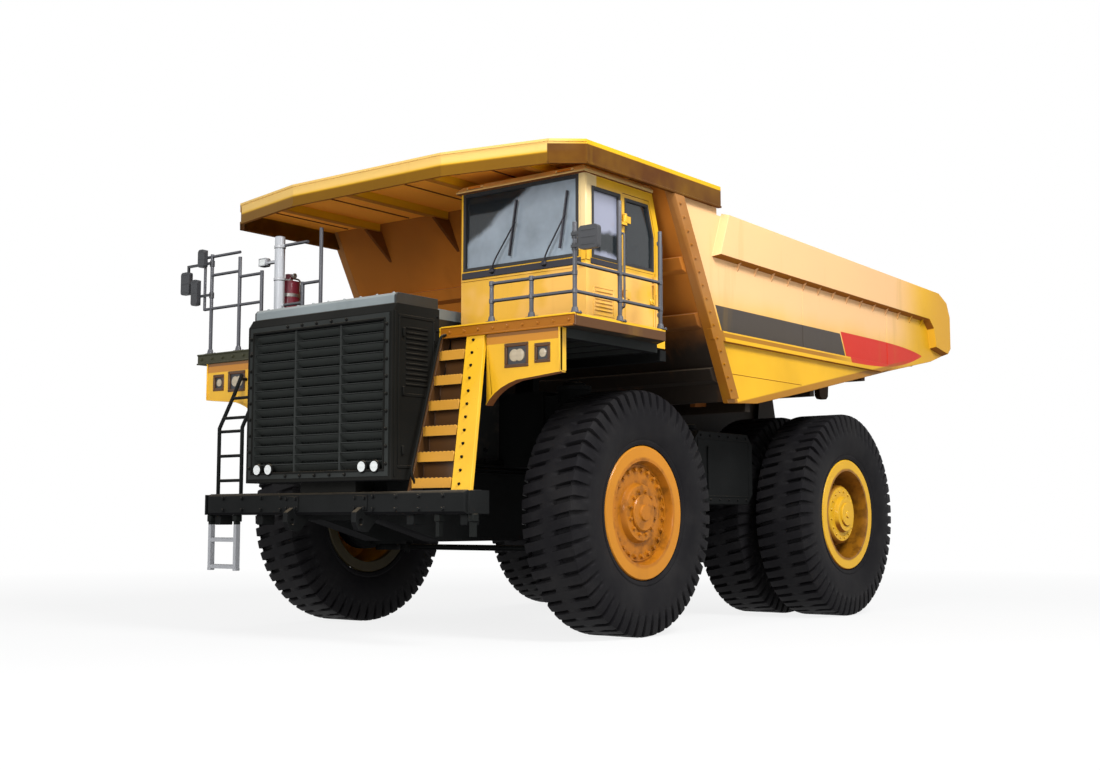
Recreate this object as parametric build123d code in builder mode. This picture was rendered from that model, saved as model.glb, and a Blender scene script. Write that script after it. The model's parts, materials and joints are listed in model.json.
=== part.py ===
"""Rigid-frame mining dump truck, built as separate panels, beams, wheels and cylinders.

Frame: +X to the truck's left, front faces -Y, +Z up, origin on the ground under the middle.
All sizes are in millimetres.
"""

import os

from build123d import *

os.makedirs("parts", exist_ok=True)

# ---------------------------------------------------------------- layout
front_axle_y = -2650
wheelbase = 4570
rear_axle_y = front_axle_y + wheelbase
front_y = -5250
rear_y = 5250

# ---------------------------------------------------------------- clearances
seat_gap = 0.3
running_gap = 0.05
moving_gap = 6

# ---------------------------------------------------------------- tyres and rims
wheel_radius = 1330
tyre_width = 740
bead_radius = 622
flange_radius = 724
bead_half = 290
flange_thick = 26
rim_wall = 24
front_track_half = 2085
dual_outer_x = 2240
dual_inner_x = 1336

# ---------------------------------------------------------------- steering
kingpin_x = 1450
strut_rod_r = 110
strut_barrel_r = 185
knuckle_r = 225
knuckle_z = (960, 1560)
spindle_r = 140
steer_arm = 340
tie_pin_r = 32
tie_slack = 35
tie_rest_offset = -23
tie_rod_r = 45

# ---------------------------------------------------------------- chassis
rail_inner = 330
rail_outer = 600
rail_top = 2120
rear_strut_x = rail_outer + 150
bumper_half = 2000
bumper_y = (-5060, -4760)
bumper_z = (1310, 1540)
grille_half = 1100
grille_z = (1650, 3440)
shell_wall = 40
louvre_count = 15
louvre_tilt = 38

# ---------------------------------------------------------------- decks, fenders and stairs
deck_front_y = -4520
deck_half = 2880
deck_inner = 640
deck_top = 3250
deck_thick = 120
fender_half = 2690
fascia_thick = 40
fascia_inner = 1745
pillar_foot_x = (1710, 1960)
pillar_top_x = (1480, 1720)
stair_inner = 1120
stair_foot_y = -5000
step_count = 6
step_depth = 190
rail_tube_r = 22
rail_bar_r = 18

# ---------------------------------------------------------------- tanks
tank_x = (960, 1950)
tank_y = (front_axle_y + wheel_radius + 390, rear_axle_y - wheel_radius - 130)
tank_z = (1450, 2330)

# ---------------------------------------------------------------- cab
cab_x = (740, 2460)
cab_y = (-3780, -2400)
cab_roof_z = (4860, 4930)
cab_wall = 60
cab_floor_thick = 60
cab_bend_z = 4350
cab_lean = 160
front_sill_z = 4000
front_head_z = 4820
side_sill_z = 3990
window_head_z = 4700
door_front_y = -3120
door_jamb = 30
door_gap = 5
door_thick = 50
pane_thick = 12
hinge_pin_r = 12

# ---------------------------------------------------------------- dump body
hinge_y = 3300
hinge_z = 2350
hinge_pin_radius = 75
body_half = 2620
body_wall = 60
floor_thick = 60
body_rail_x = (rail_outer - 220, rail_outer + 50)
top_rail_out = 100
rib_out = 60
canopy_half = body_half + 60
canopy_front_y = -4570
canopy_z = (5060, 5100)
canopy_lip_z = 4850
canopy_rear_y = -1450
wall_slope = 0.526
wall_foot = (-1250, 2600)

# ---------------------------------------------------------------- hoist cylinders
hoist_x = rail_outer + 200
hoist_foot = (300, 900)
hoist_head = (0, 2600)
hoist_pin_r = 60
head_pin_r = 50
hoist_eye_half = 55
hoist_head_slack = 58
hoist_eye_wall = 32
barrel_r = 120
stage_r = 95
rod_r = 70
barrel_reach = 1500


def block(x, y, z, mode=Mode.ADD):
    """Adds a box between the two limits given along each axis."""
    with Locations(((x[0] + x[1]) / 2, (y[0] + y[1]) / 2, (z[0] + z[1]) / 2)):
        Box(x[1] - x[0], y[1] - y[0], z[1] - z[0], mode=mode)


def side_plate(outline, x, mode=Mode.ADD):
    """Extrudes an outline of (y, z) points between two x planes."""
    with BuildSketch(Plane.YZ.offset(x[0])) as face:
        with BuildLine():
            Polyline(*outline, close=True)
        make_face()
    extrude(face.sketch, amount=x[1] - x[0], mode=mode)


def bar(start, end, radius, mode=Mode.ADD):
    """Adds a round bar from one point to another."""
    run = Vector(*end) - Vector(*start)
    with BuildSketch(Plane(origin=start, z_dir=run)) as section:
        Circle(radius)
    extrude(section.sketch, amount=run.length, mode=mode)


def ring(start, end, outer, inner):
    """Adds a round sleeve from one point to another."""
    run = Vector(*end) - Vector(*start)
    with BuildSketch(Plane(origin=start, z_dir=run)) as section:
        Circle(outer)
        Circle(inner, mode=Mode.SUBTRACT)
    extrude(section.sketch, amount=run.length)


def wheel_plane(axle_y):
    """Plane of a wheel's half section: x along the axle, y outwards from its axis."""
    return Plane(origin=(0, axle_y, wheel_radius), x_dir=(1, 0, 0), z_dir=(0, -1, 0))


def wheel_axis(axle_y):
    """Axis that a wheel's sections are revolved about."""
    return Axis((0, axle_y, wheel_radius), (1, 0, 0))


def tyre(x, axle_y):
    """Revolves one hollow tyre carcass centred on x."""
    half = tyre_width / 2
    with BuildSketch(wheel_plane(axle_y)) as section:
        with BuildLine():
            Polyline(
                (x - bead_half, flange_radius + 4),
                (x - bead_half, bead_radius),
                (x - bead_half + 90, bead_radius),
                (x - half + 75, bead_radius + 330),
                (x - half + 110, wheel_radius - 130),
                (x + half - 110, wheel_radius - 130),
                (x + half - 75, bead_radius + 330),
                (x + bead_half - 90, bead_radius),
                (x + bead_half, bead_radius),
                (x + bead_half, flange_radius + 4),
            )
            ThreePointArc(
                (x + bead_half, flange_radius + 4),
                (x + half, bead_radius + 350),
                (x + half - 22, wheel_radius - 115),
            )
            Polyline(
                (x + half - 22, wheel_radius - 115),
                (x + half - 48, wheel_radius - 28),
                (x + half - 120, wheel_radius),
                (x - half + 120, wheel_radius),
                (x - half + 48, wheel_radius - 28),
                (x - half + 22, wheel_radius - 115),
            )
            ThreePointArc(
                (x - half + 22, wheel_radius - 115),
                (x - half, bead_radius + 350),
                (x - bead_half, flange_radius + 4),
            )
        make_face()
    revolve(section.sketch, axis=wheel_axis(axle_y))


def turned(profile, axle_y, mode=Mode.ADD):
    """Revolves a profile of (x, radius) points about the axle."""
    with BuildSketch(wheel_plane(axle_y)) as section:
        with BuildLine():
            Polyline(*profile, close=True)
        make_face()
    revolve(section.sketch, axis=wheel_axis(axle_y), mode=mode)


def rim_section(x):
    """Profile of a rim's seat and two flanges, centred on x."""
    seat = bead_radius - seat_gap
    inside = bead_half + seat_gap
    outside = inside + flange_thick
    return [
        (x - outside, seat - rim_wall),
        (x - outside, flange_radius - 12),
        (x - outside + 12, flange_radius),
        (x - inside, flange_radius),
        (x - inside, seat),
        (x + inside, seat),
        (x + inside, flange_radius),
        (x + outside - 12, flange_radius),
        (x + outside, flange_radius - 12),
        (x + outside, seat - rim_wall),
    ]


# ================================================================ main frame
rail_outline = [
    (bumper_y[1], bumper_z[0] - 60),
    (-3900, 1020),
    (-1400, 1020),
    (-200, 1330),
    (700, 1720),
    (hinge_y + 150, 1720),
    (hinge_y + 150, rail_top),
    (-1300, rail_top),
    (-2200, 1950),
    (deck_front_y + 40, 1900),
    (deck_front_y + 40, grille_z[0]),
    (bumper_y[1], grille_z[0]),
]
hinge_ear = [
    (hinge_y - 260, rail_top),
    (hinge_y - 110, hinge_z + 110),
    (hinge_y + 110, hinge_z + 110),
    (hinge_y + 150, rail_top),
]
strut_lug_x = kingpin_x - strut_barrel_r - 90
tower_y = (front_axle_y - 220, front_axle_y + 220)
tower_z = (1850, 2700)

with BuildPart() as main_frame:
    side_plate(rail_outline, (rail_inner, rail_outer))
    side_plate(hinge_ear, (rail_inner, rail_outer))
    block((0, rail_outer), (bumper_y[1], -4560), (1250, grille_z[0]))
    block((0, strut_lug_x), tower_y, tower_z)
    block((0, rail_outer), (-1500, -1250), (1250, 1900))
    block((0, rail_outer), (450, 700), (1450, rail_top - 60))
    block((0, rail_outer), (hinge_y - 420, hinge_y - 180), (1760, rail_top - 40))
    for y in (-4310, -2330):
        block((rail_inner, rail_outer), (y, y + 120), (1850, deck_top - deck_thick - 120))
        block((0, 2400), (y, y + 120), (deck_top - deck_thick - 120, deck_top - deck_thick))
    for share in (0.13, 0.54):
        y = tank_y[0] + share * (tank_y[1] - tank_y[0])
        block((rail_outer, tank_x[0]), (y, y + 130), (1700, 1850))
    side_plate(
        [
            (hoist_foot[0] - 170, 1750),
            (hoist_foot[0] - 110, hoist_foot[1] - 60),
            (hoist_foot[0], hoist_foot[1] - 120),
            (hoist_foot[0] + 110, hoist_foot[1] - 60),
            (hoist_foot[0] + 230, 1750),
        ],
        (rail_outer - 60, rail_outer + 40),
    )
    bar((rail_outer, *hoist_foot), (hoist_x + 95, *hoist_foot), hoist_pin_r)
    bar((0, hinge_y, hinge_z), (rail_outer + 140, hinge_y, hinge_z), hinge_pin_radius)
    block((rail_outer, rear_strut_x + 100), (rear_axle_y - 90, rear_axle_y + 90), (1990, 2090))
    mirror(about=Plane.YZ)
main_frame.part.label = "main_frame"
export_step(main_frame.part, "parts/main_frame.step")

# ================================================================ bumper with tow eyes
with BuildPart() as bumper:
    block((-bumper_half, bumper_half), bumper_y, bumper_z)
    chamfer(bumper.edges().filter_by(Axis.Z).group_by(Axis.Y)[0], 70)
    chamfer(bumper.edges().filter_by(Axis.X).group_by(Axis.Y)[0], 25)
    for x in (-520, 520):
        side_plate(
            [
                (bumper_y[0] - 60, 1150),
                (bumper_y[0] - 100, 1230),
                (bumper_y[0] - 100, 1330),
                (bumper_y[0] + 60, 1430),
                (bumper_y[1] - 40, bumper_z[0]),
                (bumper_y[0] + 80, 1130),
            ],
            (x - 35, x + 35),
        )
        bar((x - 35, bumper_y[0] - 25, 1235), (x + 35, bumper_y[0] - 25, 1235), 32, Mode.SUBTRACT)
bumper.part.label = "bumper"
export_step(bumper.part, "parts/bumper.step")

# ================================================================ radiator shell and grille
with BuildPart() as radiator_shell:
    side_plate(
        [
            (front_y + 30, grille_z[0]),
            (front_y + 30, grille_z[1] - 90),
            (front_y + 90, grille_z[1]),
            (deck_front_y, grille_z[1]),
            (deck_front_y, grille_z[0]),
        ],
        (-grille_half, grille_half),
    )
    block(
        (-grille_half + shell_wall, grille_half - shell_wall),
        (front_y, deck_front_y - 60),
        (grille_z[0] + shell_wall, grille_z[1] - 100),
        Mode.SUBTRACT,
    )
    block((-420, 420), (bumper_y[0] + 20, bumper_y[1] - 5), (bumper_z[1], grille_z[0]))
radiator_shell.part.label = "radiator_shell"
export_step(radiator_shell.part, "parts/radiator_shell.step")

grille_x = grille_half - shell_wall
grille_low = grille_z[0] + shell_wall
grille_high = grille_z[1] - 100
with BuildPart() as grille:
    block((-grille_x, grille_x), (front_y + 25, front_y + 150), (grille_low, grille_high))
    block(
        (-grille_x + 70, grille_x - 70),
        (front_y, front_y + 200),
        (grille_low + 70, grille_high - 70),
        Mode.SUBTRACT,
    )
    louvre_pitch = (grille_high - grille_low - 140) / louvre_count
    for i in range(louvre_count):
        z = grille_low + 70 + louvre_pitch * (i + 0.5)
        with Locations(Location((0, front_y + 90, z), (-louvre_tilt, 0, 0))):
            Box(2 * grille_x - 140, 105, 12)
    for x in (-345, 345):
        block((x - 12, x + 12), (front_y + 45, front_y + 140), (grille_low + 60, grille_high - 60))
    block((-grille_x, grille_x), (front_y + 190, front_y + 240), (grille_low, grille_high))
grille.part.label = "grille"
export_step(grille.part, "parts/grille.step")

with BuildPart() as engine_block:
    block((-560, 560), (-4180, -2900), (1935, 2950))
engine_block.part.label = "engine_block"
export_step(engine_block.part, "parts/engine_block.step")

# ================================================================ centre hood and decks
deck_under = deck_top - deck_thick
hood_top = grille_z[1] + 115
with BuildPart() as hood:
    side_plate(
        [
            (deck_front_y, hood_top),
            (-3500, hood_top),
            (cab_y[1] + 60, deck_top + 60),
            (cab_y[1] + 60, deck_under),
            (deck_front_y, deck_under),
        ],
        (-deck_inner, deck_inner),
    )
    side_plate(
        [
            (front_y + 100, grille_z[1]),
            (front_y + 100, hood_top - 30),
            (front_y + 130, hood_top),
            (deck_front_y, hood_top),
            (deck_front_y, grille_z[1]),
        ],
        (-grille_half + 20, grille_half - 20),
    )
hood.part.label = "hood"
export_step(hood.part, "parts/hood.step")

with BuildPart() as decks:
    with BuildSketch(Plane.XY.offset(deck_under)):
        with BuildLine():
            Polyline(
                (deck_inner, deck_front_y),
                (deck_half, deck_front_y),
                (deck_half, -2940),
                (cab_x[1] + 20, -2620),
                (cab_x[1] + 20, cab_y[1] + 60),
                (deck_inner, cab_y[1] + 60),
                close=True,
            )
        make_face()
    extrude(amount=deck_thick)
    mirror(about=Plane.YZ)
decks.part.label = "decks"
export_step(decks.part, "parts/decks.step")

# ================================================================ fenders
fascia_y = (deck_front_y, deck_front_y + fascia_thick)
with BuildPart() as left_fender:
    with BuildSketch(Plane.XZ.offset(-fascia_y[1])):
        with BuildLine():
            Line((fascia_inner, deck_under), (fender_half, deck_under))
            Line((fender_half, deck_under), (fender_half, 2690))
            Line((fender_half, 2690), (2150, 2640))
            ThreePointArc((2150, 2640), (1930, 2560), (fascia_inner, 2400))
            Line((fascia_inner, 2400), (fascia_inner, deck_under))
        make_face()
        for x, z, w, h in ((2140, 2890, 300, 240), (2470, 2890, 190, 190)):
            with Locations((x, z)):
                Rectangle(w, h, mode=Mode.SUBTRACT)
    extrude(amount=fascia_thick)
left_fender.part.label = "left_fender"
export_step(left_fender.part, "parts/left_fender.step")
with BuildPart() as right_fender:
    mirror(left_fender.part, about=Plane.YZ)
right_fender.part.label = "right_fender"
export_step(right_fender.part, "parts/right_fender.step")

# ================================================================ stairs
with BuildPart() as pillar:
    side_plate(
        [
            (stair_foot_y, bumper_z[1]),
            (deck_front_y, deck_under),
            (deck_front_y + 45, deck_under),
            (stair_foot_y + 45, bumper_z[1]),
        ],
        (pillar_top_x[0], pillar_foot_x[1]),
    )
    with BuildSketch(Plane.XZ.offset(-deck_front_y - 50)) as front_view:
        with BuildLine():
            Polyline(
                (pillar_foot_x[0], bumper_z[1]),
                (pillar_foot_x[1], bumper_z[1]),
                (pillar_top_x[1], deck_under),
                (pillar_top_x[0], deck_under),
                close=True,
            )
        make_face()
    extrude(front_view.sketch, amount=600, mode=Mode.INTERSECT)

with BuildPart() as stairs:
    add(pillar.part)
    stair_rise = deck_under - bumper_z[1]
    side_plate(
        [
            (stair_foot_y, bumper_z[1]),
            (deck_front_y, deck_under),
            (deck_front_y + 120, deck_under),
            (stair_foot_y + 190, bumper_z[1]),
        ],
        (stair_inner, stair_inner + 30),
    )
    for i in range(step_count):
        share = (i + 0.45) / step_count
        z = bumper_z[1] + stair_rise * share
        y = stair_foot_y + (deck_front_y - stair_foot_y) * share
        outer = pillar_foot_x[0] + (pillar_top_x[0] - pillar_foot_x[0]) * share + 60
        block((stair_inner + 30, outer), (y, y + step_depth), (z - 35, z))
        riser_top = min(z + stair_rise / step_count - 35, deck_under)
        block((stair_inner + 30, outer), (y + step_depth - 20, y + step_depth), (z - 35, riser_top))
stairs.part.label = "stairs"
export_step(stairs.part, "parts/stairs.step")

ladder_x = (1510, 1950)
ladder_bend = [(-4900, bumper_z[1]), (-4900, 2300), (-4700, 2700), (-4590, 2950)]
with BuildPart() as boarding_ladders:
    for x in ladder_x:
        block((x, x + 45), (stair_foot_y, stair_foot_y + 60), (1090, bumper_z[0]))
        block((-x - 45, -x), (stair_foot_y, stair_foot_y + 60), (690, bumper_z[0]))
    for z in (710, 1010):
        block((-ladder_x[1], -ladder_x[0] - 45), (stair_foot_y, stair_foot_y + 60), (z, z + 40))
    for x in (-1560, -1960):
        for (y0, z0), (y1, z1) in zip(ladder_bend, ladder_bend[1:]):
            bar((x, y0, z0), (x, y1, z1), rail_tube_r)
        for y, z in ladder_bend[1:3]:
            with Locations((x, y, z)):
                Sphere(rail_tube_r)
    for z in (1700, 1980, 2260):
        bar((-1960, -4900, z), (-1560, -4900, z), rail_bar_r)
    for share in (0.3, 0.9):
        y, z = -4900 + 200 * share, 2300 + 400 * share
        bar((-1960, y, z), (-1560, y, z), rail_bar_r)
    bar((-1960, -4610, 2900), (-1960, deck_front_y - seat_gap, 2900), rail_bar_r)
boarding_ladders.part.label = "boarding_ladders"
export_step(boarding_ladders.part, "parts/boarding_ladders.step")

# ================================================================ handrails
rail_front_y = deck_front_y + 40
rail_side_x = deck_half - 40
right_posts = ((-2690, 1230), (-2170, 1140), (-1770, 930), (-1060, 720), (-760, 1310))
right_rails = (
    (-2820, -2170, 1200),
    (-2690, -2170, 970),
    (-2170, -1770, 900),
    (-2820, -1770, 560),
    (-1460, -980, 1180),
    (-1720, -1460, 1010),
    (-1460, -1060, 480),
    (-1060, -760, 700),
)
mast_x = -1460
mast_r = 60
with BuildPart() as handrails:
    for x, height in ((1780, 420), (2300, 420), (rail_side_x, 900)):
        bar((x, rail_front_y, deck_top), (x, rail_front_y, deck_top + height), rail_tube_r)
    for z in (deck_top + 220, deck_top + 400):
        bar((1780, rail_front_y, z), (rail_side_x, rail_front_y, z), rail_bar_r)
    for y, height in ((-3720, 1250), (-2980, 1050)):
        bar((rail_side_x, y, deck_top), (rail_side_x, y, deck_top + height), rail_tube_r)
    for z in (deck_top + 220, deck_top + 500):
        bar((rail_side_x, rail_front_y, z), (rail_side_x, -2980, z), rail_bar_r)
    for x, height in right_posts:
        bar((x, rail_front_y, deck_top), (x, rail_front_y, deck_top + height), rail_tube_r)
    for x0, x1, height in right_rails:
        z = deck_top + height
        bar((x0, rail_front_y, z), (x1, rail_front_y, z), rail_bar_r)
    bar((-2820, rail_front_y, deck_top + 550), (-2820, rail_front_y, deck_top + 1210), rail_bar_r)
    bar((mast_x, rail_front_y, deck_top), (mast_x, rail_front_y, deck_top + 1290), mast_r)
handrails.part.label = "handrails"
export_step(handrails.part, "parts/handrails.step")

# ================================================================ cab
cab_floor_top = deck_top + cab_floor_thick
inner_x = (cab_x[0] + cab_wall, cab_x[1] - cab_wall)
inner_y = (cab_y[0] + cab_wall, cab_y[1] - cab_wall)


def leaning_side(front, inset, bottom, top):
    """Outline of (y, z) points from a front edge to the cab's back, which leans above its bend."""
    back = cab_y[1] - inset
    lean = cab_lean * (top - cab_bend_z) / (cab_roof_z[0] - cab_bend_z)
    return [(front, bottom), (back, bottom), (back, cab_bend_z), (back - lean, top), (front, top)]


with BuildPart() as cab_floor:
    block(cab_x, cab_y, (deck_top, cab_floor_top))
cab_floor.part.label = "cab_floor"
export_step(cab_floor.part, "parts/cab_floor.step")

front_window_x = (cab_x[0] + 60, cab_x[1] - 120)
with BuildPart() as cab_front:
    block(cab_x, (cab_y[0], inner_y[0]), (cab_floor_top, cab_roof_z[0]))
    block(front_window_x, (cab_y[0], inner_y[0]), (front_sill_z, front_head_z), Mode.SUBTRACT)
cab_front.part.label = "cab_front"
export_step(cab_front.part, "parts/cab_front.step")

rear_window_x = (cab_x[0] + 260, cab_x[1] - 260)
rear_window_z = (side_sill_z, cab_bend_z - 40)
with BuildPart() as cab_rear:
    side_plate(leaning_side(inner_y[0], 0, cab_floor_top, cab_roof_z[0]), cab_x)
    side_plate(leaning_side(inner_y[0], cab_wall, cab_floor_top, cab_roof_z[0]), cab_x, Mode.SUBTRACT)
    block(rear_window_x, (inner_y[1], cab_y[1]), rear_window_z, Mode.SUBTRACT)
cab_rear.part.label = "cab_rear"
export_step(cab_rear.part, "parts/cab_rear.step")

quarter_y = (inner_y[0] + 60, door_front_y - 70)
doorway_inset = cab_wall + door_jamb
doorway_top = window_head_z + 50
left_side_x = (inner_x[1], cab_x[1])
with BuildPart() as cab_left:
    side_plate(leaning_side(inner_y[0], cab_wall, cab_floor_top, cab_roof_z[0]), left_side_x)
    block(left_side_x, quarter_y, (side_sill_z, window_head_z), Mode.SUBTRACT)
    doorway = leaning_side(door_front_y, doorway_inset, cab_floor_top, doorway_top)
    side_plate(doorway, left_side_x, Mode.SUBTRACT)
    hinge_axis = (cab_x[1] + 26, door_front_y + 5)
    for z in (3600, 4420):
        block((cab_x[1], hinge_axis[0] + 20), (door_front_y - 70, door_front_y + 20), (z - 30, z))
        bar((*hinge_axis, z), (*hinge_axis, z + 100), hinge_pin_r)
cab_left.part.label = "cab_left"
export_step(cab_left.part, "parts/cab_left.step")

right_side_x = (cab_x[0], inner_x[0])
right_window = leaning_side(inner_y[0] + 120, cab_wall + 120, side_sill_z, window_head_z)
with BuildPart() as cab_right:
    side_plate(leaning_side(inner_y[0], cab_wall, cab_floor_top, cab_roof_z[0]), right_side_x)
    side_plate(right_window, right_side_x, Mode.SUBTRACT)
cab_right.part.label = "cab_right"
export_step(cab_right.part, "parts/cab_right.step")

with BuildPart() as cab_roof:
    block((cab_x[0] - 20, cab_x[1] + 20), (cab_y[0] - 60, cab_y[1] - cab_lean), cab_roof_z)
    chamfer(cab_roof.edges().filter_by(Axis.X).group_by(Axis.Z)[-1].group_by(Axis.Y)[0], 60)
    chamfer(cab_roof.edges().filter_by(Axis.Y).group_by(Axis.Z)[-1], 50)
cab_roof.part.label = "cab_roof"
export_step(cab_roof.part, "parts/cab_roof.step")

door_inset = doorway_inset + door_gap
door_rear_y = cab_y[1] - door_inset
door_z = (cab_floor_top + door_gap, doorway_top - door_gap)
door_x = (cab_x[1] - door_thick - 5, cab_x[1] - 5)
door_window = leaning_side(door_front_y + door_gap + 55, door_inset + 50, side_sill_z, door_z[1] - 60)
with BuildPart() as cab_door:
    side_plate(leaning_side(door_front_y + door_gap, door_inset, *door_z), door_x)
    side_plate(door_window, door_x, Mode.SUBTRACT)
    for z in (3600, 4420):
        block((door_x[1] - 5, hinge_axis[0]), (hinge_axis[1] + 10, hinge_axis[1] + 110), (z + 5, z + 80))
        bar((*hinge_axis, z + 5), (*hinge_axis, z + 80), hinge_pin_r + 12)
        bar((*hinge_axis, z), (*hinge_axis, z + 90), hinge_pin_r + running_gap, Mode.SUBTRACT)
    bar((door_x[1], door_rear_y - 60, 3820), (door_x[1] + 45, door_rear_y - 60, 3820), 12)
    block((door_x[1] + 33, door_x[1] + 57), (door_rear_y - 72, door_rear_y - 48), (3700, 3940))
cab_door.part.label = "cab_door"
export_step(cab_door.part, "parts/cab_door.step")

with BuildPart() as door_glass:
    side_plate(door_window, (door_x[0] + 18, door_x[0] + 18 + pane_thick))
door_glass.part.label = "door_glass"
export_step(door_glass.part, "parts/door_glass.step")

with BuildPart() as cab_glass:
    pane = (24, 24 + pane_thick)
    block(front_window_x, (cab_y[0] + pane[0], cab_y[0] + pane[1]), (front_sill_z, front_head_z))
    block(rear_window_x, (inner_y[1] + pane[0], inner_y[1] + pane[1]), rear_window_z)
    block((inner_x[1] + pane[0], inner_x[1] + pane[1]), quarter_y, (side_sill_z, window_head_z))
    side_plate(right_window, (cab_x[0] + pane[0], cab_x[0] + pane[1]))
cab_glass.part.label = "cab_glass"
export_step(cab_glass.part, "parts/cab_glass.step")

seat_x = (1400, 1880)
with BuildPart() as operator_seat:
    block((1520, 1760), (-3080, -2840), (cab_floor_top, 3560))
    block(seat_x, (-3160, -2680), (3560, 3700))
    side_plate([(-2800, 3700), (-2740, 4420), (-2640, 4420), (-2680, 3700)], seat_x)
    fillet(operator_seat.edges().filter_by(Axis.X).group_by(Axis.Z)[-1], 30)
operator_seat.part.label = "operator_seat"
export_step(operator_seat.part, "parts/operator_seat.step")

wheel_tilt = Plane(origin=(1640, -3310, 3960), x_dir=(1, 0, 0), z_dir=(0, 0.55, 0.835))
with BuildPart() as operator_console:
    side_plate(
        [(-3716, cab_floor_top), (-3716, 3830), (-3560, 3830), (-3480, 3700), (-3560, cab_floor_top)],
        (inner_x[0] + 10, inner_x[1] - 10),
    )
    bar((1640, -3530, 3640), tuple(wheel_tilt.origin), 28)
    with BuildSketch(Plane(origin=wheel_tilt.origin, x_dir=wheel_tilt.z_dir, z_dir=(1, 0, 0))):
        with Locations((0, 190)):
            Rectangle(28, 28)
    revolve(axis=Axis(wheel_tilt.origin, wheel_tilt.z_dir))
    with BuildSketch(wheel_tilt):
        Rectangle(370, 34)
        Rectangle(34, 370)
    extrude(amount=9, both=True)
operator_console.part.label = "operator_console"
export_step(operator_console.part, "parts/operator_console.step")

# ================================================================ deck fittings
mirror_y = (rail_front_y - 90, rail_front_y - 32)
arm_y = (rail_front_y - rail_tube_r - seat_gap - 24, rail_front_y - rail_tube_r - seat_gap)
mirror_heads = (
    (2950, 3180, 3850, 4080),
    (-2860, -2740, 4320, 4540),
    (-2980, -2860, 3860, 4180),
    (-3180, -3020, 4010, 4290),
)
mirror_arms = (
    (rail_side_x - 15, 3010, 3890),
    (rail_side_x - 15, 3010, 4010),
    (-3100, right_posts[0][0] + 15, 4350),
    (-2900, right_posts[0][0] + 15, 3960),
)
with BuildPart() as mirrors:
    for x0, x1, z0, z1 in mirror_heads:
        block((x0, x1), mirror_y, (z0, z1))
    fillet(mirrors.edges().filter_by(Axis.Y), 38)
    for x0, x1, z in mirror_arms:
        block((x0, x1), arm_y, (z, z + 30))
    block((-3115, -3085), arm_y, (4250, 4380))
mirrors.part.label = "mirrors"
export_step(mirrors.part, "parts/mirrors.step")

with BuildPart() as fire_bottle:
    bar((-1555, -4250, deck_top), (-1555, -4250, deck_top + 800), 125)
    bar((-1555, -4250, deck_top + 800), (-1555, -4250, deck_top + 890), 45)
fire_bottle.part.label = "fire_bottle"
export_step(fire_bottle.part, "parts/fire_bottle.step")

with BuildPart() as headlamps:
    for x, z, w, h in ((2140, 2890, 300, 240), (2470, 2890, 190, 190)):
        block((x - w / 2, x + w / 2), (fascia_y[0] + 12, fascia_y[1] + 60), (z - h / 2, z + h / 2))
    for x in (710, 890):
        bar((x, front_y + 25, 1790), (x, front_y, 1790), 52)
    mirror(about=Plane.YZ)
headlamps.part.label = "headlamps"
export_step(headlamps.part, "parts/headlamps.step")

# ================================================================ tanks
for name, sign in (("fuel_tank", 1), ("hydraulic_tank", -1)):
    with BuildPart() as tank:
        outline = [
            (tank_y[0], tank_z[0] + 120),
            (tank_y[0], tank_z[1] - 120),
            (tank_y[0] + 120, tank_z[1]),
            (tank_y[1] - 120, tank_z[1]),
            (tank_y[1], tank_z[1] - 120),
            (tank_y[1], tank_z[0] + 120),
            (tank_y[1] - 120, tank_z[0]),
            (tank_y[0] + 120, tank_z[0]),
        ]
        side_plate(outline, tank_x if sign > 0 else (-tank_x[1], -tank_x[0]))
    tank.part.label = name
    export_step(tank.part, f"parts/{name}.step")

# ================================================================ suspension and axle
with BuildPart() as suspension_struts:
    kingpin = (kingpin_x, front_axle_y)
    bar((*kingpin, knuckle_z[1] + 90), (*kingpin, 2760), strut_barrel_r)
    bar((*kingpin, knuckle_z[0] - 40), (*kingpin, knuckle_z[1] + 90), strut_rod_r)
    bar((*kingpin, knuckle_z[0] - 70), (*kingpin, knuckle_z[0] - 12), 150)
    block((strut_lug_x, kingpin_x - 60), (tower_y[0] + 40, tower_y[1] - 40), (2050, 2650))
    mirror(about=Plane.YZ)
suspension_struts.part.label = "suspension_struts"
export_step(suspension_struts.part, "parts/suspension_struts.step")

brake_x = (900, 1240)
axle_stub_r = 200
axle_tube_r = 240
stub_end = 2080
with BuildPart() as rear_axle:
    turned(
        [
            (0, 0),
            (0, 430),
            (180, 420),
            (300, 330),
            (420, axle_tube_r),
            (brake_x[0], axle_tube_r),
            (brake_x[0], 450),
            (brake_x[1], 450),
            (brake_x[1], axle_stub_r),
            (stub_end, axle_stub_r),
            (stub_end, 0),
        ],
        rear_axle_y,
    )
    side_plate(
        [
            (rear_axle_y - 300, wheel_radius - 140),
            (820, wheel_radius - 60),
            (700, wheel_radius),
            (700, wheel_radius + 90),
            (820, wheel_radius + 110),
            (rear_axle_y - 300, wheel_radius + 160),
        ],
        (0, 150),
    )
    mirror(about=Plane.YZ)
rear_axle.part.label = "rear_axle"
export_step(rear_axle.part, "parts/rear_axle.step")

with BuildPart() as rear_suspension:
    strut = (rear_strut_x, rear_axle_y)
    bar((*strut, wheel_radius + axle_tube_r + seat_gap), (*strut, 1750), 62)
    bar((*strut, 1740), (*strut, 1990), 92)
    mirror(about=Plane.YZ)
rear_suspension.part.label = "rear_suspension"
export_step(rear_suspension.part, "parts/rear_suspension.step")

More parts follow.
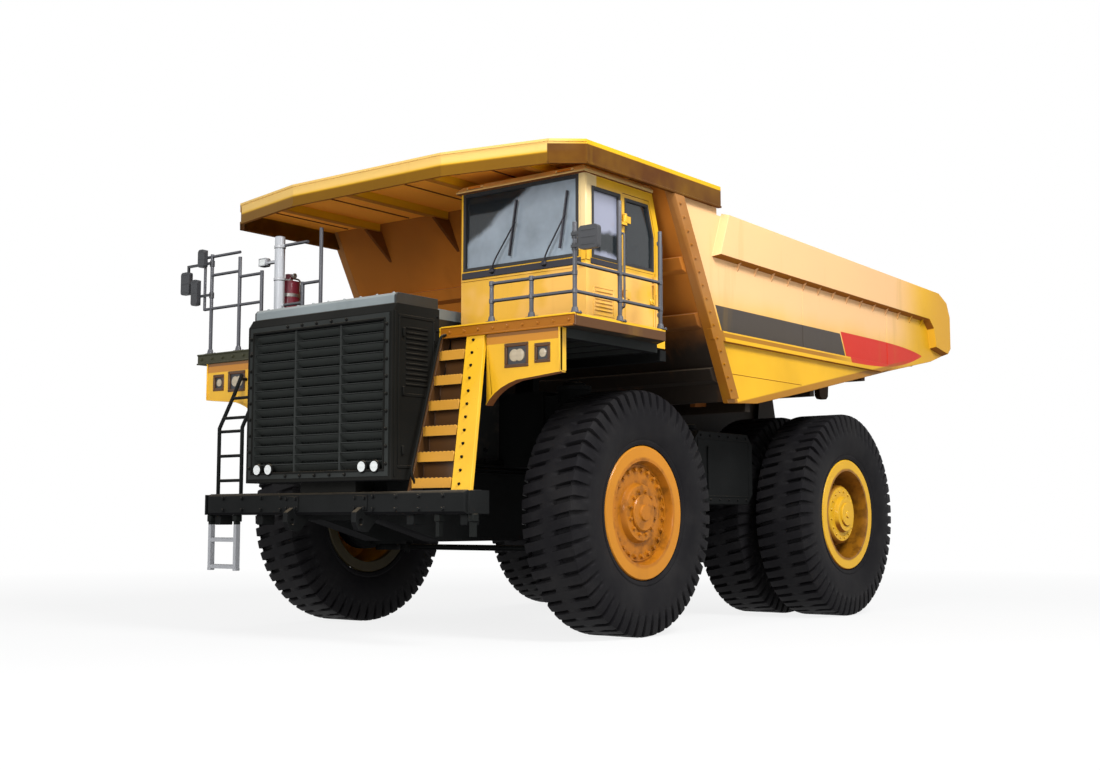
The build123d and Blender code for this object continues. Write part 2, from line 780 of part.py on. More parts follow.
# ================================================================ front wheels and knuckles
hub_bore = spindle_r + running_gap
spindle_end = front_track_half + 170
arm_tip = (kingpin_x, front_axle_y + steer_arm)
with BuildPart() as left_knuckle:
    bar((*kingpin, knuckle_z[0]), (*kingpin, knuckle_z[1]), knuckle_r)
    turned(
        [
            (kingpin_x, 0),
            (kingpin_x, 190),
            (1790, 190),
            (1790, 430),
            (1950, 430),
            (1950, spindle_r),
            (spindle_end, spindle_r),
            (spindle_end, 0),
        ],
        front_axle_y,
    )
    block(
        (kingpin_x - 70, kingpin_x + 70),
        (front_axle_y, front_axle_y + steer_arm),
        (knuckle_z[0], knuckle_z[0] + 80),
    )
    bar((*arm_tip, knuckle_z[0]), (*arm_tip, knuckle_z[0] + 80), 70)
    bar((*arm_tip, knuckle_z[0] - 110), (*arm_tip, knuckle_z[0]), tie_pin_r)
    bar(
        (*kingpin, knuckle_z[0] - 20),
        (*kingpin, knuckle_z[1] + 20),
        strut_rod_r + running_gap,
        Mode.SUBTRACT,
    )
left_knuckle.part.label = "left_knuckle"
export_step(left_knuckle.part, "parts/left_knuckle.step")
with BuildPart() as right_knuckle:
    mirror(left_knuckle.part, about=Plane.YZ)
right_knuckle.part.label = "right_knuckle"
export_step(right_knuckle.part, "parts/right_knuckle.step")

tie_eye_y = front_axle_y + steer_arm + tie_rest_offset
tie_z = (knuckle_z[0] - 75 - seat_gap, knuckle_z[0] - seat_gap)
tie_bore = tie_pin_r + tie_slack
with BuildPart() as tie_rod:
    bar(
        (-kingpin_x + tie_bore, tie_eye_y, sum(tie_z) / 2),
        (kingpin_x - tie_bore, tie_eye_y, sum(tie_z) / 2),
        tie_rod_r - 10,
    )
    for x in (-kingpin_x, kingpin_x):
        ring((x, tie_eye_y, tie_z[0]), (x, tie_eye_y, tie_z[1]), tie_bore + 34, tie_bore)
tie_rod.part.label = "tie_rod"
export_step(tie_rod.part, "parts/tie_rod.step")

front_x = front_track_half
with BuildPart() as left_front_rim:
    turned(
        rim_section(front_x)
        + [
            (front_x + bead_half + seat_gap + flange_thick, 560),
            (front_x + 225, 545),
            (front_x + 225, 330),
            (front_x + 285, 300),
            (front_x + 285, 0),
            (spindle_end + 15, 0),
            (spindle_end + 15, hub_bore),
            (1965, hub_bore),
            (1965, 250),
            (front_x + 120, 270),
            (front_x + 190, 330),
            (front_x + 190, bead_radius - seat_gap - rim_wall),
        ],
        front_axle_y,
    )
left_front_rim.part.label = "left_front_rim"
export_step(left_front_rim.part, "parts/left_front_rim.step")
with BuildPart() as right_front_rim:
    mirror(left_front_rim.part, about=Plane.YZ)
right_front_rim.part.label = "right_front_rim"
export_step(right_front_rim.part, "parts/right_front_rim.step")

for name, x in (("left_front_tyre", front_x), ("right_front_tyre", -front_x)):
    with BuildPart() as front_tyre:
        tyre(x, front_axle_y)
    front_tyre.part.label = name
    export_step(front_tyre.part, f"parts/{name}.step")

# ================================================================ rear dual wheels
stub_bore = axle_stub_r + running_gap
seat_r = bead_radius - seat_gap
rim_end = bead_half + seat_gap + flange_thick
with BuildPart() as left_rear_rims:
    turned(
        rim_section(dual_outer_x)
        + [
            (dual_outer_x + rim_end, 575),
            (dual_outer_x + 10, 560),
            (dual_outer_x - 25, 540),
            (dual_outer_x - 25, 400),
            (dual_outer_x + 200, 385),
            (dual_outer_x + 230, 350),
            (dual_outer_x + 230, 240),
            (dual_outer_x + 290, 220),
            (dual_outer_x + 290, 0),
            (stub_end + 20, 0),
            (stub_end + 20, stub_bore),
            (brake_x[1] + 20, stub_bore),
            (brake_x[1] + 20, 330),
            (dual_outer_x - 75, 400),
            (dual_outer_x - 75, 540),
            (dual_outer_x - 140, seat_r - rim_wall),
        ],
        rear_axle_y,
    )
    turned(rim_section(dual_inner_x), rear_axle_y)
    turned(
        [
            (dual_inner_x + rim_end - 5, seat_r - rim_wall),
            (dual_inner_x + rim_end - 5, seat_r + 10),
            (dual_outer_x - rim_end + 5, seat_r + 10),
            (dual_outer_x - rim_end + 5, seat_r - rim_wall),
        ],
        rear_axle_y,
    )
left_rear_rims.part.label = "left_rear_rims"
export_step(left_rear_rims.part, "parts/left_rear_rims.step")
with BuildPart() as right_rear_rims:
    mirror(left_rear_rims.part, about=Plane.YZ)
right_rear_rims.part.label = "right_rear_rims"
export_step(right_rear_rims.part, "parts/right_rear_rims.step")

for name, sign in (("left_rear_tyres", 1), ("right_rear_tyres", -1)):
    with BuildPart() as rear_tyres:
        tyre(sign * dual_inner_x, rear_axle_y)
        tyre(sign * dual_outer_x, rear_axle_y)
    rear_tyres.part.label = name
    export_step(rear_tyres.part, f"parts/{name}.step")

# ================================================================ dump body
inner_half = body_half - body_wall
floor_line = [(-1220, 2640), (-550, 2690), (650, 2930), (3150, 3410), (4650, 3650), (rear_y, 3860)]


def floor_under(y):
    """Height of the floor's lower face at a place along the body."""
    for (y0, z0), (y1, z1) in zip(floor_line, floor_line[1:]):
        if y0 <= y <= y1:
            return z0 + (z1 - z0) * (y - y0) / (y1 - y0)
    return floor_line[-1][1]


def wall_y(z):
    """Front face of the sloping front wall at a height."""
    return wall_foot[0] - wall_slope * (z - wall_foot[1])


floor_section = floor_line + [(y, z + floor_thick) for y, z in reversed(floor_line)]
with BuildPart() as body_floor:
    side_plate(floor_section, (0, inner_half))
    side_plate(
        [
            (-1100, 2150),
            (-1100, 2660),
            (650, 2940),
            (3150, 3420),
            (3130, 3000),
            (2880, 2500),
            (2860, 2150),
        ],
        body_rail_x,
    )
    side_plate(
        [
            (2760, 2450),
            (2900, 3372),
            (3150, 3420),
            (hinge_y + 130, hinge_z),
            (hinge_y + 90, hinge_z - 95),
            (hinge_y, hinge_z - 130),
            (hinge_y - 90, hinge_z - 95),
        ],
        (rail_outer + moving_gap, body_rail_x[1] + 70),
    )
    for y, drop in ((-750, 140), (900, 140), (2400, 110), (4000, 50), (4900, 50)):
        block((0, inner_half), (y, y + 110), (floor_under(y) - drop, floor_under(y) + 40))
    bar(
        (body_rail_x[1], *hoist_head),
        (hoist_x + hoist_eye_half + 30, *hoist_head),
        head_pin_r,
    )
    side_plate(
        [
            (hoist_head[0] - 130, 2830),
            (hoist_head[0] - 90, hoist_head[1] - 70),
            (hoist_head[0] + 90, hoist_head[1] - 70),
            (hoist_head[0] + 130, 2880),
        ],
        (hoist_x + hoist_eye_half + 25, hoist_x + hoist_eye_half + 60),
    )
    bar(
        (rail_outer, hinge_y, hinge_z),
        (body_rail_x[1] + 100, hinge_y, hinge_z),
        hinge_pin_radius + running_gap,
        Mode.SUBTRACT,
    )
    mirror(about=Plane.YZ)
body_floor.part.label = "body_floor"
export_step(body_floor.part, "parts/body_floor.step")

with BuildPart() as body_front:
    wall_top = canopy_z[0]
    side_plate(
        [
            (wall_y(2620), 2620),
            (wall_y(wall_top), wall_top),
            (wall_y(wall_top) + 60, wall_top),
            (wall_y(2760) + 60, 2760),
            (-1220, 2700),
            (-1220, 2620),
        ],
        (-inner_half, inner_half),
    )
    for z in (2850, 3450, 4050):
        side_plate(
            [
                (wall_y(z) - 90, z),
                (wall_y(z) + 10, z - 30),
                (wall_y(z + 130) + 10, z + 160),
                (wall_y(z + 130) - 90, z + 130),
            ],
            (-inner_half, inner_half),
        )
body_front.part.label = "body_front"
export_step(body_front.part, "parts/body_front.step")

side_outline = [
    (wall_y(canopy_z[0]), canopy_z[0]),
    (canopy_rear_y, canopy_z[0]),
    (canopy_rear_y, 4780),
    (4780, 4640),
    (5060, 4540),
    (rear_y - 50, 4330),
    (rear_y - 50, 3830),
    (5080, 3730),
    (4650, 3610),
    (3150, 3340),
    (650, 2860),
    (-550, 2640),
    (wall_foot[0], wall_foot[1]),
]
with BuildPart() as body_left:
    side_plate(side_outline, (inner_half, body_half))
    with BuildSketch(Plane.YZ.offset(body_half)):
        with BuildLine():
            Polyline(
                (-1350, 4810),
                (4780, 4670),
                (5080, 4550),
                (rear_y - 50, 4330),
                (rear_y - 50, 3830),
                (5080, 3730),
                (4620, 3800),
                (4540, 4080),
                (4400, 4190),
                (-1570, 4270),
                close=True,
            )
        make_face()
    extrude(amount=top_rail_out, taper=14)
    side_plate([(-1640, 3300), (-1700, 3420), (3000, 3420), (3150, 3370), (2800, 3300)],
               (body_half, body_half + rib_out))
    side_plate(
        [
            (wall_y(2640), 2640),
            (wall_y(canopy_lip_z), canopy_lip_z),
            (wall_y(canopy_lip_z) + 190, canopy_lip_z),
            (wall_y(2660) + 190, 2660),
        ],
        (body_half, body_half + rib_out),
    )
body_left.part.label = "body_left"
export_step(body_left.part, "parts/body_left.step")
with BuildPart() as body_right:
    mirror(body_left.part, about=Plane.YZ)
body_right.part.label = "body_right"
export_step(body_right.part, "parts/body_right.step")

canopy_corner = [(0, -4060), (-300, -4310)]
canopy_run = [(canopy_half + x, y) for x, y in canopy_corner] + [(1150, canopy_front_y)]
canopy_edge = [(canopy_half, canopy_rear_y), *canopy_run]
lip_edge = [(canopy_half - 45, canopy_rear_y + 100), (canopy_half - 45, -4040),
            (canopy_half - 320, -4266), (1140, canopy_front_y + 45)]
with BuildPart() as canopy:
    outline = canopy_edge + [(-x, y) for x, y in reversed(canopy_edge)]
    opening = lip_edge + [(-x, y) for x, y in reversed(lip_edge)]
    with BuildSketch(Plane.XY.offset(canopy_z[0])):
        with BuildLine():
            Polyline(*outline, close=True)
        make_face()
    extrude(amount=canopy_z[1] - canopy_z[0])
    with BuildSketch(Plane.XY.offset(canopy_lip_z)) as lip:
        with BuildLine():
            Polyline(*outline, close=True)
        make_face()
        with BuildLine():
            Polyline(*opening, close=True)
        make_face(mode=Mode.SUBTRACT)
    extrude(lip.sketch, amount=canopy_z[0] - canopy_lip_z)
    for x in (-1800, -620, 620, 1800):
        reach = canopy_front_y + 45 + max(0, abs(x) - 1140) * 0.19
        block((x - 50, x + 50), (reach, wall_y(canopy_z[0]) - 5), (4960, canopy_z[0]))
canopy.part.label = "canopy"
export_step(canopy.part, "parts/canopy.step")

dual_gap_x = (dual_inner_x + dual_outer_x) / 2
with BuildPart() as rock_ejectors:
    side_plate(
        [
            (2560, floor_under(2560) - seat_gap),
            (2600, 3000),
            (2660, 2960),
            (2800, 2960),
            (2850, 3000),
            (2890, floor_under(2890) - seat_gap),
        ],
        (dual_gap_x - 42, dual_gap_x + 42),
    )
    mirror(about=Plane.YZ)
rock_ejectors.part.label = "rock_ejectors"
export_step(rock_ejectors.part, "parts/rock_ejectors.step")

# ================================================================ hoist cylinders
foot = Vector(0, *hoist_foot)
head = Vector(0, *hoist_head)
run = (head - foot).normalized()
pinned_length = (head - foot).length


def along(x, distance):
    """Point at a distance up the hoist's centre line."""
    point = foot + run * distance
    return (x, point.Y, point.Z)


for name, sign in (("left", 1), ("right", -1)):
    x = sign * hoist_x
    with BuildPart() as barrel:
        bar((x - hoist_eye_half, *hoist_foot), (x + hoist_eye_half, *hoist_foot), 125)
        bar(along(x, 60), along(x, barrel_reach), barrel_r)
        bar((x - 200, *hoist_foot), (x + 200, *hoist_foot), hoist_pin_r + running_gap, Mode.SUBTRACT)
        bar(along(x, 180), along(x, barrel_reach + 10), stage_r + running_gap, Mode.SUBTRACT)
    barrel.part.label = f"{name}_hoist_barrel"
    export_step(barrel.part, f"parts/{name}_hoist_barrel.step")
    with BuildPart() as stage:
        bar(along(x, 200), along(x, barrel_reach + 30), stage_r)
        bar(along(x, 230), along(x, barrel_reach + 40), rod_r + running_gap, Mode.SUBTRACT)
    stage.part.label = f"{name}_hoist_stage"
    export_step(stage.part, f"parts/{name}_hoist_stage.step")
    with BuildPart() as rod:
        bar(along(x, 250), along(x, pinned_length - 100), rod_r)
        eye_bore = head_pin_r + hoist_head_slack
        bar((x - hoist_eye_half, *hoist_head), (x + hoist_eye_half, *hoist_head), eye_bore + hoist_eye_wall)
        bar((x - 200, *hoist_head), (x + 200, *hoist_head), eye_bore, Mode.SUBTRACT)
    rod.part.label = f"{name}_hoist_rod"
    export_step(rod.part, f"parts/{name}_hoist_rod.step")
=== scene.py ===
"""Looks of a rigid-frame mining dump truck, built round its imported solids.

Frame: +X to the truck's left, the front faces -Y, +Z up, all sizes in metres.
"""

import json
import logging
import math
from dataclasses import dataclass, field
from enum import Enum
from functools import cached_property
from typing import Any, Sequence

import bmesh
import bpy
from mathutils import Matrix, Vector


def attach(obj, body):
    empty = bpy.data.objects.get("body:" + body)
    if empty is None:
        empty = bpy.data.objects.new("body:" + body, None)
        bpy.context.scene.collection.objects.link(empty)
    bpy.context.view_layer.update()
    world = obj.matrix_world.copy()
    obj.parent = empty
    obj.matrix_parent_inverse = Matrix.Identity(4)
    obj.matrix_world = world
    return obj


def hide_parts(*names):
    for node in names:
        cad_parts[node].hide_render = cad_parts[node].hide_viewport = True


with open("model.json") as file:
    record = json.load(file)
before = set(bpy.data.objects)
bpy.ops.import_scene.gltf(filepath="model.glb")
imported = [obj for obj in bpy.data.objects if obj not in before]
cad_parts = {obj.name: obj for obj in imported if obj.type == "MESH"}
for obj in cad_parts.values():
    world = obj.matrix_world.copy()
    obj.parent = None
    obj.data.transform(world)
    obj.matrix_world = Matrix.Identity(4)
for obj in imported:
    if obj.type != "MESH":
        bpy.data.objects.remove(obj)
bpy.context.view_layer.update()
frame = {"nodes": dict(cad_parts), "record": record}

Point = Sequence[float]
Limits = tuple[float, float]
Colour = tuple[float, float, float]
Profile = Sequence[tuple[float, float]]
log = logging.getLogger("dump_truck")

SMOOTH_ANGLE = math.radians(38)
BEVEL_ANGLE = math.radians(32)
TURN = 2 * math.pi
INF = math.inf
UP = (0, 0, 1)
WHITE = (1, 1, 1)
SIDES = (("left", 1), ("right", -1))


# ================================================================ shader maths
class Signal:
    """A shader value whose Math nodes are added as an expression is written."""

    def __init__(self, tree: "ShaderTree", socket: bpy.types.NodeSocket) -> None:
        """Keep the socket and the tree that it belongs to."""
        self.tree = tree
        self.socket = socket

    def __add__(self, other: "Number") -> "Signal":
        """Sum."""
        return self.tree.math("ADD", self, other)

    def __sub__(self, other: "Number") -> "Signal":
        """Difference."""
        return self.tree.math("SUBTRACT", self, other)

    def __rsub__(self, other: "Number") -> "Signal":
        """Difference, reflected."""
        return self.tree.math("SUBTRACT", other, self)

    def __mul__(self, other: "Number") -> "Signal":
        """Product."""
        return self.tree.math("MULTIPLY", self, other)

    def __truediv__(self, other: "Number") -> "Signal":
        """Quotient."""
        return self.tree.math("DIVIDE", self, other)

    def __rtruediv__(self, other: "Number") -> "Signal":
        """Quotient, reflected."""
        return self.tree.math("DIVIDE", other, self)

    def __pow__(self, power: "Number") -> "Signal":
        """Power."""
        return self.tree.math("POWER", self, power)

    def __rpow__(self, base: "Number") -> "Signal":
        """Power, reflected."""
        return self.tree.math("POWER", base, self)

    def __abs__(self) -> "Signal":
        """Size without sign."""
        return self.tree.math("ABSOLUTE", self)

    __radd__ = __add__
    __rmul__ = __mul__

    def sine(self) -> "Signal":
        """Sine of a value in radians."""
        return self.tree.math("SINE", self)

    def least(self, other: "Number") -> "Signal":
        """The smaller of two."""
        return self.tree.math("MINIMUM", self, other)

    def most(self, other: "Number") -> "Signal":
        """The larger of two."""
        return self.tree.math("MAXIMUM", self, other)

    def rise(self, low: float, high: float) -> "Signal":
        """A smooth step.

        Args:
            low: where the step leaves 0.
            high: where it reaches 1, which may be below low for a fall.

        Returns:
            The step, from 0 to 1.
        """
        span = {"From Min": min(low, high), "From Max": max(low, high), "Value": self}
        step = self.tree.signal("MapRange", {"interpolation_type": "SMOOTHSTEP"}, span)
        return 1 - step if high < low else step


Number = float | int | Signal


class ShaderTree:
    """Node tree of one material or world, read in the object's own frame."""

    def __init__(self, owner: bpy.types.Material | bpy.types.World) -> None:
        """Empty the owner's tree.

        Args:
            owner: the material or world.
        """
        owner.use_nodes = True
        self.nodes, self.links = owner.node_tree.nodes, owner.node_tree.links
        self.nodes.clear()

    def node(self, kind: str, settings: dict[str, Any] | None = None,
             sockets: dict[Any, Any] | None = None) -> bpy.types.Node:
        """Add one node.

        Args:
            kind: the node's type, without its ShaderNode prefix.
            settings: attributes, which are set before the sockets.
            sockets: values or links, by the socket's name or number.

        Returns:
            The new node.
        """
        made = self.nodes.new("ShaderNode" + kind)
        for key, value in (settings or {}).items():
            setattr(made, key, value)
        for key, value in (sockets or {}).items():
            source = value.socket if isinstance(value, Signal) else value
            socket = made.inputs[key]
            if isinstance(source, bpy.types.NodeSocket):
                self.links.new(source, socket)
            else:
                socket.default_value = (*source, 1) if socket.type == "RGBA" else source
        return made

    def signal(self, kind: str, settings: dict[str, Any] | None = None,
               sockets: dict[Any, Any] | None = None, output: int | str = 0) -> Signal:
        """Add a node and wrap one of its outputs."""
        return Signal(self, self.node(kind, settings, sockets).outputs[output])

    def math(self, operation: str, *values: Number) -> Signal:
        """Add one Math node."""
        return self.signal("Math", {"operation": operation}, dict(enumerate(values)))

    @cached_property
    def coordinates(self) -> bpy.types.NodeOutputs:
        """Coordinates of the object's own frame."""
        return self.node("TexCoord").outputs

    def axes(self, kind: str = "Object") -> tuple[Signal, Signal, Signal]:
        """The object's own x, y and z, or with Normal, which way a face looks along them."""
        split = self.node("SeparateXYZ", None, {0: self.coordinates[kind]})
        return tuple(Signal(self, output) for output in split.outputs)

    def facing_up(self) -> Signal:
        """1 where a face looks up, -1 where it looks down."""
        return self.axes("Normal")[2]

    def seen(self) -> Signal:
        """1 for what the camera sees, straight or by way of metal and glass.

        Returns:
            A signal of 0 or 1.
        """
        rays = self.node("LightPath").outputs
        camera, glossy, through = (
            Signal(self, rays[f"Is {kind} Ray"]) for kind in ("Camera", "Glossy", "Transmission"))
        return camera.most(glossy).most(through)

    def noise(self, scale: float, detail: float = 3, rough: float = 0.5,
              stretch: Point = (1, 1, 1)) -> Signal:
        """Cloudy noise from 0 to 1.

        Args:
            scale: clouds in a metre.
            detail: octaves.
            rough: how strong the finer octaves are.
            stretch: scale along each axis.

        Returns:
            The noise's value.
        """
        place = self.signal("VectorMath", {"operation": "MULTIPLY"},
                            {0: self.coordinates["Object"], 1: stretch})
        return self.signal("TexNoise", None, {
            "Vector": place, "Scale": scale, "Detail": detail, "Roughness": rough})

    def mix(self, factor: Number, first: Any, second: Any) -> bpy.types.NodeSocket:
        """Blend two colours.

        Args:
            factor: 0 for the first and 1 for the second.
            first: a colour or a colour socket.
            second: a colour or a colour socket.

        Returns:
            The blended colour's socket.
        """
        colours = {0: factor, 6: first, 7: second}
        return self.node("Mix", {"data_type": "RGBA"}, colours).outputs[2]

    def bump(self, height: Signal, distance: float, strength: float = 1.0,
             under: bpy.types.NodeSocket | None = None) -> bpy.types.NodeSocket:
        """Turn a height into a surface normal.

        Args:
            height: the height, from 0 to 1.
            distance: what 1 stands for, in metres.
            strength: share of it that shows.
            under: the normal below it.

        Returns:
            The normal's socket.
        """
        sockets = {"Height": height, "Distance": distance, "Strength": strength}
        if under is not None:
            sockets["Normal"] = under
        return self.node("Bump", None, sockets).outputs[0]

    def scoured(self, inside: Signal, base: Any) -> bpy.types.NodeSocket:
        """Wear the paint off the faces that the load slides along.

        Args:
            inside: 1 on those faces.
            base: colour of the paint.

        Returns:
            The colour with scraped, rusty steel under the load's line.
        """
        z = self.axes()[2]
        scrapes = self.noise(2.2, 5, 0.65, (1, 0.35, 1.6))
        steel = self.mix(scrapes.rise(0.35, 0.65), (0.105, 0.080, 0.062), (0.225, 0.150, 0.095))
        return self.mix(inside * (z + scrapes * 0.5).rise(4.85, 4.55), base, steel)


def shade(colour: Colour, share: float) -> Colour:
    """The colour at a share of its strength."""
    return tuple(c * share for c in colour)


# ================================================================ finishes
class Tint(Enum):
    """Named colours, in linear light."""

    YELLOW = (0.64, 0.345, 0.009)
    ORANGE = (0.43, 0.162, 0.006)
    RUST = (0.23, 0.075, 0.022)
    DUST = (0.42, 0.33, 0.22)
    STEEL = (0.42, 0.42, 0.41)
    RAIL = (0.060, 0.061, 0.070)
    RED = (0.48, 0.010, 0.007)
    BAND = (0.022, 0.024, 0.028)
    DARK = (0.003, 0.003, 0.0035)
    GRILLE = (0.021, 0.023, 0.022)
    SHADE = (0.125, 0.036, 0.003)
    # painted shade: a warm brown for shadow lines and for faces that look down
    WARM_SHADE = (0.225, 0.078, 0.006)


@dataclass(frozen=True)
class Finish:
    """A finish, each kind of which lays its own surface.

    Attributes:
        name: the material's name.
        colour: its main colour.
    """

    name: str
    colour: Colour

    def skin(self, tree: ShaderTree) -> dict[str, Any]:
        """Values and links of the surface's sockets."""
        raise NotImplementedError

    def make(self) -> bpy.types.Material:
        """Build the material.

        Returns:
            The new material.
        """
        material = bpy.data.materials.new(self.name)
        tree = ShaderTree(material)
        surface = tree.node("BsdfPrincipled", None, self.skin(tree))
        tree.node("OutputMaterial", None, {"Surface": surface.outputs[0]})
        return material


@dataclass(frozen=True)
class Paint(Finish):
    """Sprayed enamel over plate steel, with dust, runs of dirt, small chips and painted shade on the faces
    that look down.

    Attributes:
        roughness: roughness where clean.
        coat: weight of the gloss coat.
        dust_top: height under which road dust has gathered.
        chips: share of small chips, from 0 to 1.
        underside_shade: colour painted on the faces that look down, as painted shade.
        shine: strength of its mirror reflection.
        settle: share of dust lying on level faces.
    """

    roughness: float = 0.38
    coat: float = 0.28
    dust_top: float = 1.6
    chips: float = 0.5
    underside_shade: Colour = Tint.SHADE.value
    shine: float = 0.35
    settle: float = 0.34

    def artwork(self, tree: ShaderTree, base: Any) -> Any:
        """Colour laid over the fresh paint before the dirt; plain paint has none."""
        return base

    def skin(self, tree: ShaderTree) -> dict[str, Any]:
        """Lay the paint, the painted shade under faces that look down, its artwork, the dirt and the chips.

        Args:
            tree: the material's node tree.

        Returns:
            Values and links of the surface's sockets.
        """
        z = tree.axes()[2]
        broad = tree.noise(0.7, 3, 0.55)
        fine = tree.noise(14, 4, 0.6)
        runs = tree.noise(3.4, 4, 0.6, (1, 1, 0.12)).rise(0.56, 0.74)
        paler = tuple(min(1.0, c * 1.05 + 0.003) for c in self.colour)
        base = tree.mix(broad.rise(0.3, 0.7), shade(self.colour, 0.88), paler)
        # painted shade: faces that look down are mixed to their own darker colour, standing in for the shade
        # under them
        shaded_underside = tree.facing_up().rise(-0.2, -0.6)
        base = self.artwork(tree, tree.mix(shaded_underside, base, self.underside_shade))
        base = tree.mix(runs * 0.16, base, shade(self.colour, 0.45))
        low = z.rise(self.dust_top, self.dust_top - 1.1)
        settled = tree.facing_up().rise(0.6, 0.95)
        dust = ((low * 0.55 + settled * self.settle) * (0.35 + fine * 0.8)).least(0.8)
        base = tree.mix(dust, base, Tint.DUST.value)
        chip = tree.noise(42, 2).rise(0.70, 0.74) * tree.noise(3.1, 2).rise(0.56, 0.7) * self.chips
        base = tree.mix(chip, base, Tint.RUST.value)
        rough = self.roughness + dust * 0.35 + fine * 0.10 + chip * 0.3 + shaded_underside * 0.5
        ripple = tree.bump(tree.noise(5.0, 2), 0.004, 0.25)
        clean = ((1 - dust - shaded_underside) * self.coat).most(0.0) if self.coat else 0.0
        return {
            "Base Color": base, "Roughness": rough.least(1.0), "Coat Weight": clean,
            "Coat Roughness": 0.12, "Specular IOR Level": self.shine,
            "Normal": tree.bump(tree.noise(160, 2), 0.0006, 0.25, ripple),
        }


@dataclass(frozen=True)
class MarkedPaint(Paint):
    """Body-side enamel: a dark band, a red sweep behind it, a painted sheen on its upper part, and painted
    shade on the front rib, under the ribs and rails and along the lower edge.

    Attributes:
        band_y: where the band starts and ends.
        band_z: the band's lower and upper edge.
        sweep_end: where the red sweep comes to its tip.
        sweep_z: the sweep's lower and upper edge.
        edge: width over which the band and the sweep fade out.
        rib_shade: width of the painted shade along the leaning front edge.
        front: y of that edge at the height of z 0, and how far it leans for each metre up.
        paler: colour of the painted sheen on the upper part.
        tail: colour of the rear end.
    """

    band_y: Limits = (-1.50, 1.66)
    band_z: Limits = (3.420, 3.715)
    sweep_end: float = 4.30
    sweep_z: Limits = (3.345, 3.745)
    edge: float = 0.006
    rib_shade: float = 0.235
    front: Limits = (0.1176, -0.526)
    paler: Colour = (0.74, 0.455, 0.26)
    tail: Colour = (0.58, 0.29, 0.016)

    def artwork(self, tree: ShaderTree, base: Any) -> Any:
        """Lay the painted sheen, the band, the sweep, the rear colour and the painted shade over the fresh
        paint.

        Args:
            tree: the material's node tree.
            base: colour of the fresh paint.

        Returns:
            The marked colour.
        """
        _, y, z = tree.axes()
        cloud = tree.noise(1.3, 3, 0.6)
        # painted sheen: the upper part of the side, towards the front, is mixed to a paler peach, standing
        # in for light on it
        painted_sheen = (z + cloud * 0.3).rise(3.50, 4.15) * y.rise(4.3, 3.1) * 0.75
        base = tree.mix(painted_sheen, base, self.paler)
        (start, end), (low, high), edge = self.band_y, self.band_z, self.edge
        along = y - (high - z) * 0.5
        band = z.rise(low - edge, low) * z.rise(high + edge, high)
        band = band * along.rise(start - edge, start) * along.rise(end + edge, end)
        share = ((y - end) / (self.sweep_end - end)).most(0.0).least(1.0)
        (low, high), start = self.sweep_z, end + 0.03
        sweep = along.rise(start, start + edge)
        sweep = sweep * (z - share ** 3 * 0.30).rise(low, low + edge)
        sweep = sweep * (z + share ** 5 * 0.08).rise(high + edge, high)
        sweep = sweep * y.rise(self.sweep_end + edge, self.sweep_end)
        base = tree.mix(band * 0.96, base, Tint.BAND.value)
        base = tree.mix(sweep * 0.97, base, Tint.RED.value)
        # painted shadow: a thin dark line under the rib below the band, and painted shade along the sloping
        # lower edge
        seam = z.rise(3.345, 3.352) * z.rise(3.402, 3.395) * y.rise(2.4, 1.0)
        lower_edge_shade = (z - y * 0.192).rise(2.835, 2.812) * y.rise(4.2, 3.0)
        base = tree.mix(y.rise(4.1, 4.9) * 0.85, base, self.tail)
        # painted shade along the leaning front edge, next to the shaded front wall
        start, lean = self.front
        rib_shade = (y - z * lean).rise(start + self.rib_shade + 0.02, start + self.rib_shade)
        stain = (seam * 0.8).most(lower_edge_shade * 0.8).most(rib_shade * (0.72 + cloud * 0.3))
        # painted shade also on faces that look down, such as under the top rail; all of it in warm brown
        stain = stain.most(tree.facing_up().rise(-0.3, -0.6)).least(1.0)
        base = tree.mix(stain, base, Tint.WARM_SHADE.value)
        return tree.scoured((tree.axes("Normal")[0] * tree.axes()[0]).rise(-1.4, -1.9), base)


@dataclass(frozen=True)
class CanopyPaint(Paint):
    """Enamel whose front lip has a painted highlight above, and whose lower and side lips have painted shade
    in brown.

    Attributes:
        lip_z: height under which the front lip has painted shade.
        side_x: distance from the middle beyond which the lip has painted shade up to its edge.
        pale: colour of the painted highlight on the front lip.
        stain: colour of the painted shade.
    """

    lip_z: float = 4.95
    side_x: float = 2.37
    pale: Colour = (0.64, 0.43, 0.15)
    stain: Colour = (0.066, 0.020, 0.001)

    def artwork(self, tree: ShaderTree, base: Any) -> Any:
        """Lay the painted highlight and the painted shade over the fresh paint.

        Args:
            tree: the material's node tree.
            base: colour of the fresh paint.

        Returns:
            The marked colour.
        """
        x, y, z = tree.axes()
        cloud = tree.noise(1.7, 3, 0.6)
        # painted shade: the side lips and the faces below the front lip's upper band are mixed to brown
        side = abs(x).rise(self.side_x - 0.01, self.side_x) * z.rise(5.062, 5.045) * (0.80 + cloud * 0.3)
        low = z.rise(self.lip_z + 0.03, self.lip_z) * 0.85
        # painted highlight: the upper band of the front lip is paler
        base = tree.mix(z.rise(4.96, 5.0) * y.rise(-4.0, -4.3) * 0.8, base, self.pale)
        return tree.mix(side.most(low).least(1.0), base, self.stain)


